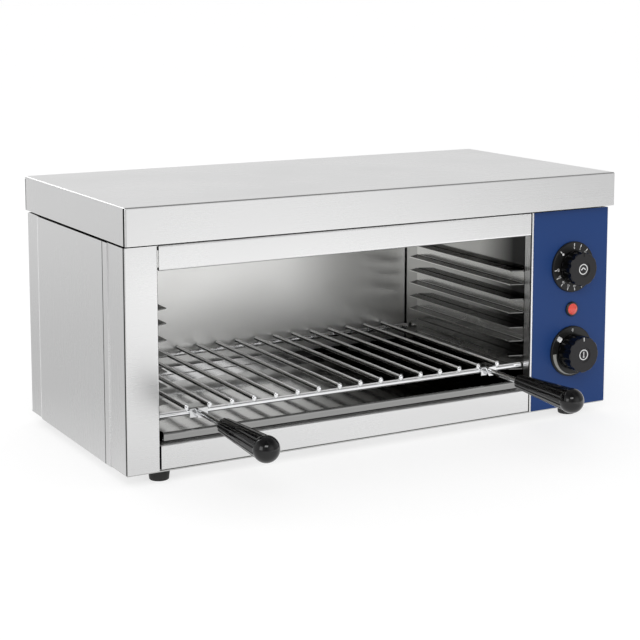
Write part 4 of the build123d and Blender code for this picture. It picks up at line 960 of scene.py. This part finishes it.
class MELTER_OT_stage(Operator):
    """White floor and surround, three soft boxes and the camera"""
    bl_idname = "melter.stage"
    bl_label = "Stage"

    def execute(self, context):
        stage = context.scene.melter_stage
        context.scene.view_settings.view_transform = "Standard"
        self.floor(stage)
        self.world(context.scene)
        self.soft_box("key_light", place=(-1.2, -2.3, 1.9), width=1.4, height=0.7, power=stage.key)
        self.soft_box("fill_light", place=(-2.2, -0.8, 0.7), width=1.0, height=1.0, power=stage.fill)
        self.soft_box("rim_light", place=(-0.6, 3.0, 1.4), width=1.2, height=0.4, power=stage.rim)
        self.camera(context.scene, stage)
        return {"FINISHED"}

    def floor(self, stage):
        bpy.ops.object.select_all(action="DESELECT")
        bpy.ops.mesh.primitive_plane_add(size=stage.floor)
        floor = bpy.context.object
        floor.name = "floor"
        material, tree, shader = surface("white_floor", Roughness=0.9)
        shader.inputs["Emission Color"].default_value = grey(1.0)
        camera, mirrored = seen_rays(tree)
        paper = add(tree, "Mix", COLOURS,
                    {COLOUR_A: grey(FLOOR_GREY), COLOUR_B: grey(FLOOR_GREY_MIRRORED)}, {"Factor": mirrored})
        seen = add(tree, "Mix", COLOURS, {COLOUR_B: grey(FLOOR_GREY_SEEN)},
                   {"Factor": camera, COLOUR_A: paper.outputs[COLOUR_MIX]})
        tree.links.new(seen.outputs[COLOUR_MIX], shader.inputs["Base Color"])
        level = self.near_floor(tree, add(tree, "TexCoord").outputs["Object"])
        reflection = add(tree, "Math", {"operation": "MULTIPLY"}, links={0: level, 1: mirrored})
        direct = add(tree, "Math", {"operation": "MULTIPLY"}, {1: FLOOR_GLOW_SEEN}, {0: camera})
        glow = add(tree, "Math", {"operation": "ADD"},
                   links={0: reflection.outputs[0], 1: direct.outputs[0]})
        tree.links.new(glow.outputs[0], shader.inputs["Emission Strength"])
        floor.data.materials.append(material)

    def near_floor(self, tree, place):
        """Brightness of the floor in reflections: darker away from the white card, with the card
        near the object, and further out like the surround."""
        cardwards = add(tree, "VectorMath", {"operation": "DOT_PRODUCT"}, {1: CARD_SIDE},
                        {0: place}).outputs["Value"]
        distance = add(tree, "VectorMath", {"operation": "LENGTH"}, links={0: place}).outputs["Value"]
        near = add(tree, "MapRange", links={"Value": cardwards},
                   values={"From Min": -0.5, "From Max": 0.0, "To Min": 0.44, "To Max": 0.77})
        far = add(tree, "Math", {"operation": "MULTIPLY"}, {1: 0.88}, {0: surround(tree, place)})
        away = add(tree, "MapRange", values={"From Min": 0.8, "From Max": 1.8}, links={"Value": distance})
        level = add(tree, "Mix", VALUES,
                    links={"Factor": away.outputs["Result"], VALUE_A: near.outputs["Result"],
                           VALUE_B: far.outputs[0]})
        inner = add(tree, "MapRange", values={"From Min": 0.35, "From Max": 0.5},
                    links={"Value": cardwards})
        outer = add(tree, "MapRange", values={"From Min": 1.2, "From Max": 0.95},
                    links={"Value": distance})
        card = add(tree, "Math", {"operation": "MULTIPLY"},
                   links={0: inner.outputs["Result"], 1: outer.outputs["Result"]})
        lit = add(tree, "Mix", VALUES, {VALUE_B: CARD_BRIGHTNESS},
                  {"Factor": card.outputs[0], VALUE_A: level.outputs[VALUE_MIX]})
        return lit.outputs[VALUE_MIX]

    def world(self, scene):
        world = bpy.data.worlds.new("white_studio")
        scene.world = world
        world.use_nodes = True
        tree = world.node_tree
        tree.nodes.clear()
        camera, mirrored = seen_rays(tree)
        place = add(tree, "TexCoord").outputs["Generated"]
        level = add(tree, "Mix", VALUES, {VALUE_A: ROOM_LIGHT},
                    {"Factor": mirrored, VALUE_B: surround(tree, place)})
        strength = add(tree, "Mix", VALUES, {VALUE_B: 1.0},
                       {"Factor": camera, VALUE_A: level.outputs[VALUE_MIX]})
        background = add(tree, "Background", values={"Color": grey(1.0)},
                         links={"Strength": strength.outputs[VALUE_MIX]})
        add(tree, "OutputWorld", links={"Surface": background.outputs[0]})

    def soft_box(self, name, place, width, height, power):
        bpy.ops.object.light_add(type="AREA", location=place)
        lamp = bpy.context.object
        lamp.name = name
        lamp.data.shape = "RECTANGLE"
        lamp.data.size = width
        lamp.data.size_y = height
        lamp.data.energy = power
        lamp.rotation_euler = (AIM - Vector(place)).to_track_quat("-Z", "Y").to_euler()

    def camera(self, scene, stage):
        azimuth, elevation = math.radians(CAMERA_AZIMUTH), math.radians(CAMERA_ELEVATION)
        back = Vector((math.sin(azimuth) * math.cos(elevation), -math.cos(azimuth) * math.cos(elevation),
                       math.sin(elevation)))
        bpy.ops.object.camera_add(location=CAMERA_PLACE)
        camera = bpy.context.object
        camera.rotation_euler = (-back).to_track_quat("-Z", "Y").to_euler()
        camera.data.lens = stage.lens
        camera.data.shift_y = CAMERA_SHIFT
        camera.data.clip_end = CAMERA_RANGE
        scene.camera = camera


class MELTER_PT_panel(Panel):
    """Lists the sizes, the colours and the steps"""
    bl_idname = "MELTER_PT_panel"
    bl_label = "Cheese melter"
    bl_space_type = "VIEW_3D"
    bl_region_type = "UI"
    bl_category = "Melter"

    def draw(self, context):
        for family in GROUPS:
            group = getattr(context.scene, family)
            for name in group.__annotations__:
                self.layout.prop(group, name)
        for step in STEPS:
            self.layout.operator(step.bl_idname)


STEPS = (MELTER_OT_skin, MELTER_OT_chamber, MELTER_OT_grid, MELTER_OT_welds, MELTER_OT_grips,
         MELTER_OT_controls, MELTER_OT_lamp, MELTER_OT_heating, MELTER_OT_feet, MELTER_OT_timer_scale,
         MELTER_OT_thermostat_scale, MELTER_OT_timer_symbol, MELTER_OT_thermostat_symbol, MELTER_OT_stage)
GROUPS = {"melter_prints": MelterPrints, "melter_welds": MelterWelds, "melter_colours": MelterColours,
          "melter_stage": MelterStage}


def register():
    for item in (*GROUPS.values(), *STEPS, MELTER_PT_panel):
        bpy.utils.register_class(item)
    for name, group in GROUPS.items():
        setattr(bpy.types.Scene, name, PointerProperty(type=group))


def unregister():
    for name in GROUPS:
        delattr(bpy.types.Scene, name)
    for item in reversed((*GROUPS.values(), *STEPS, MELTER_PT_panel)):
        bpy.utils.unregister_class(item)


def main():
    register()
    for step in STEPS:
        family, name = step.bl_idname.split(".")
        getattr(getattr(bpy.ops, family), name)()


if __name__ == "__main__":
    main()
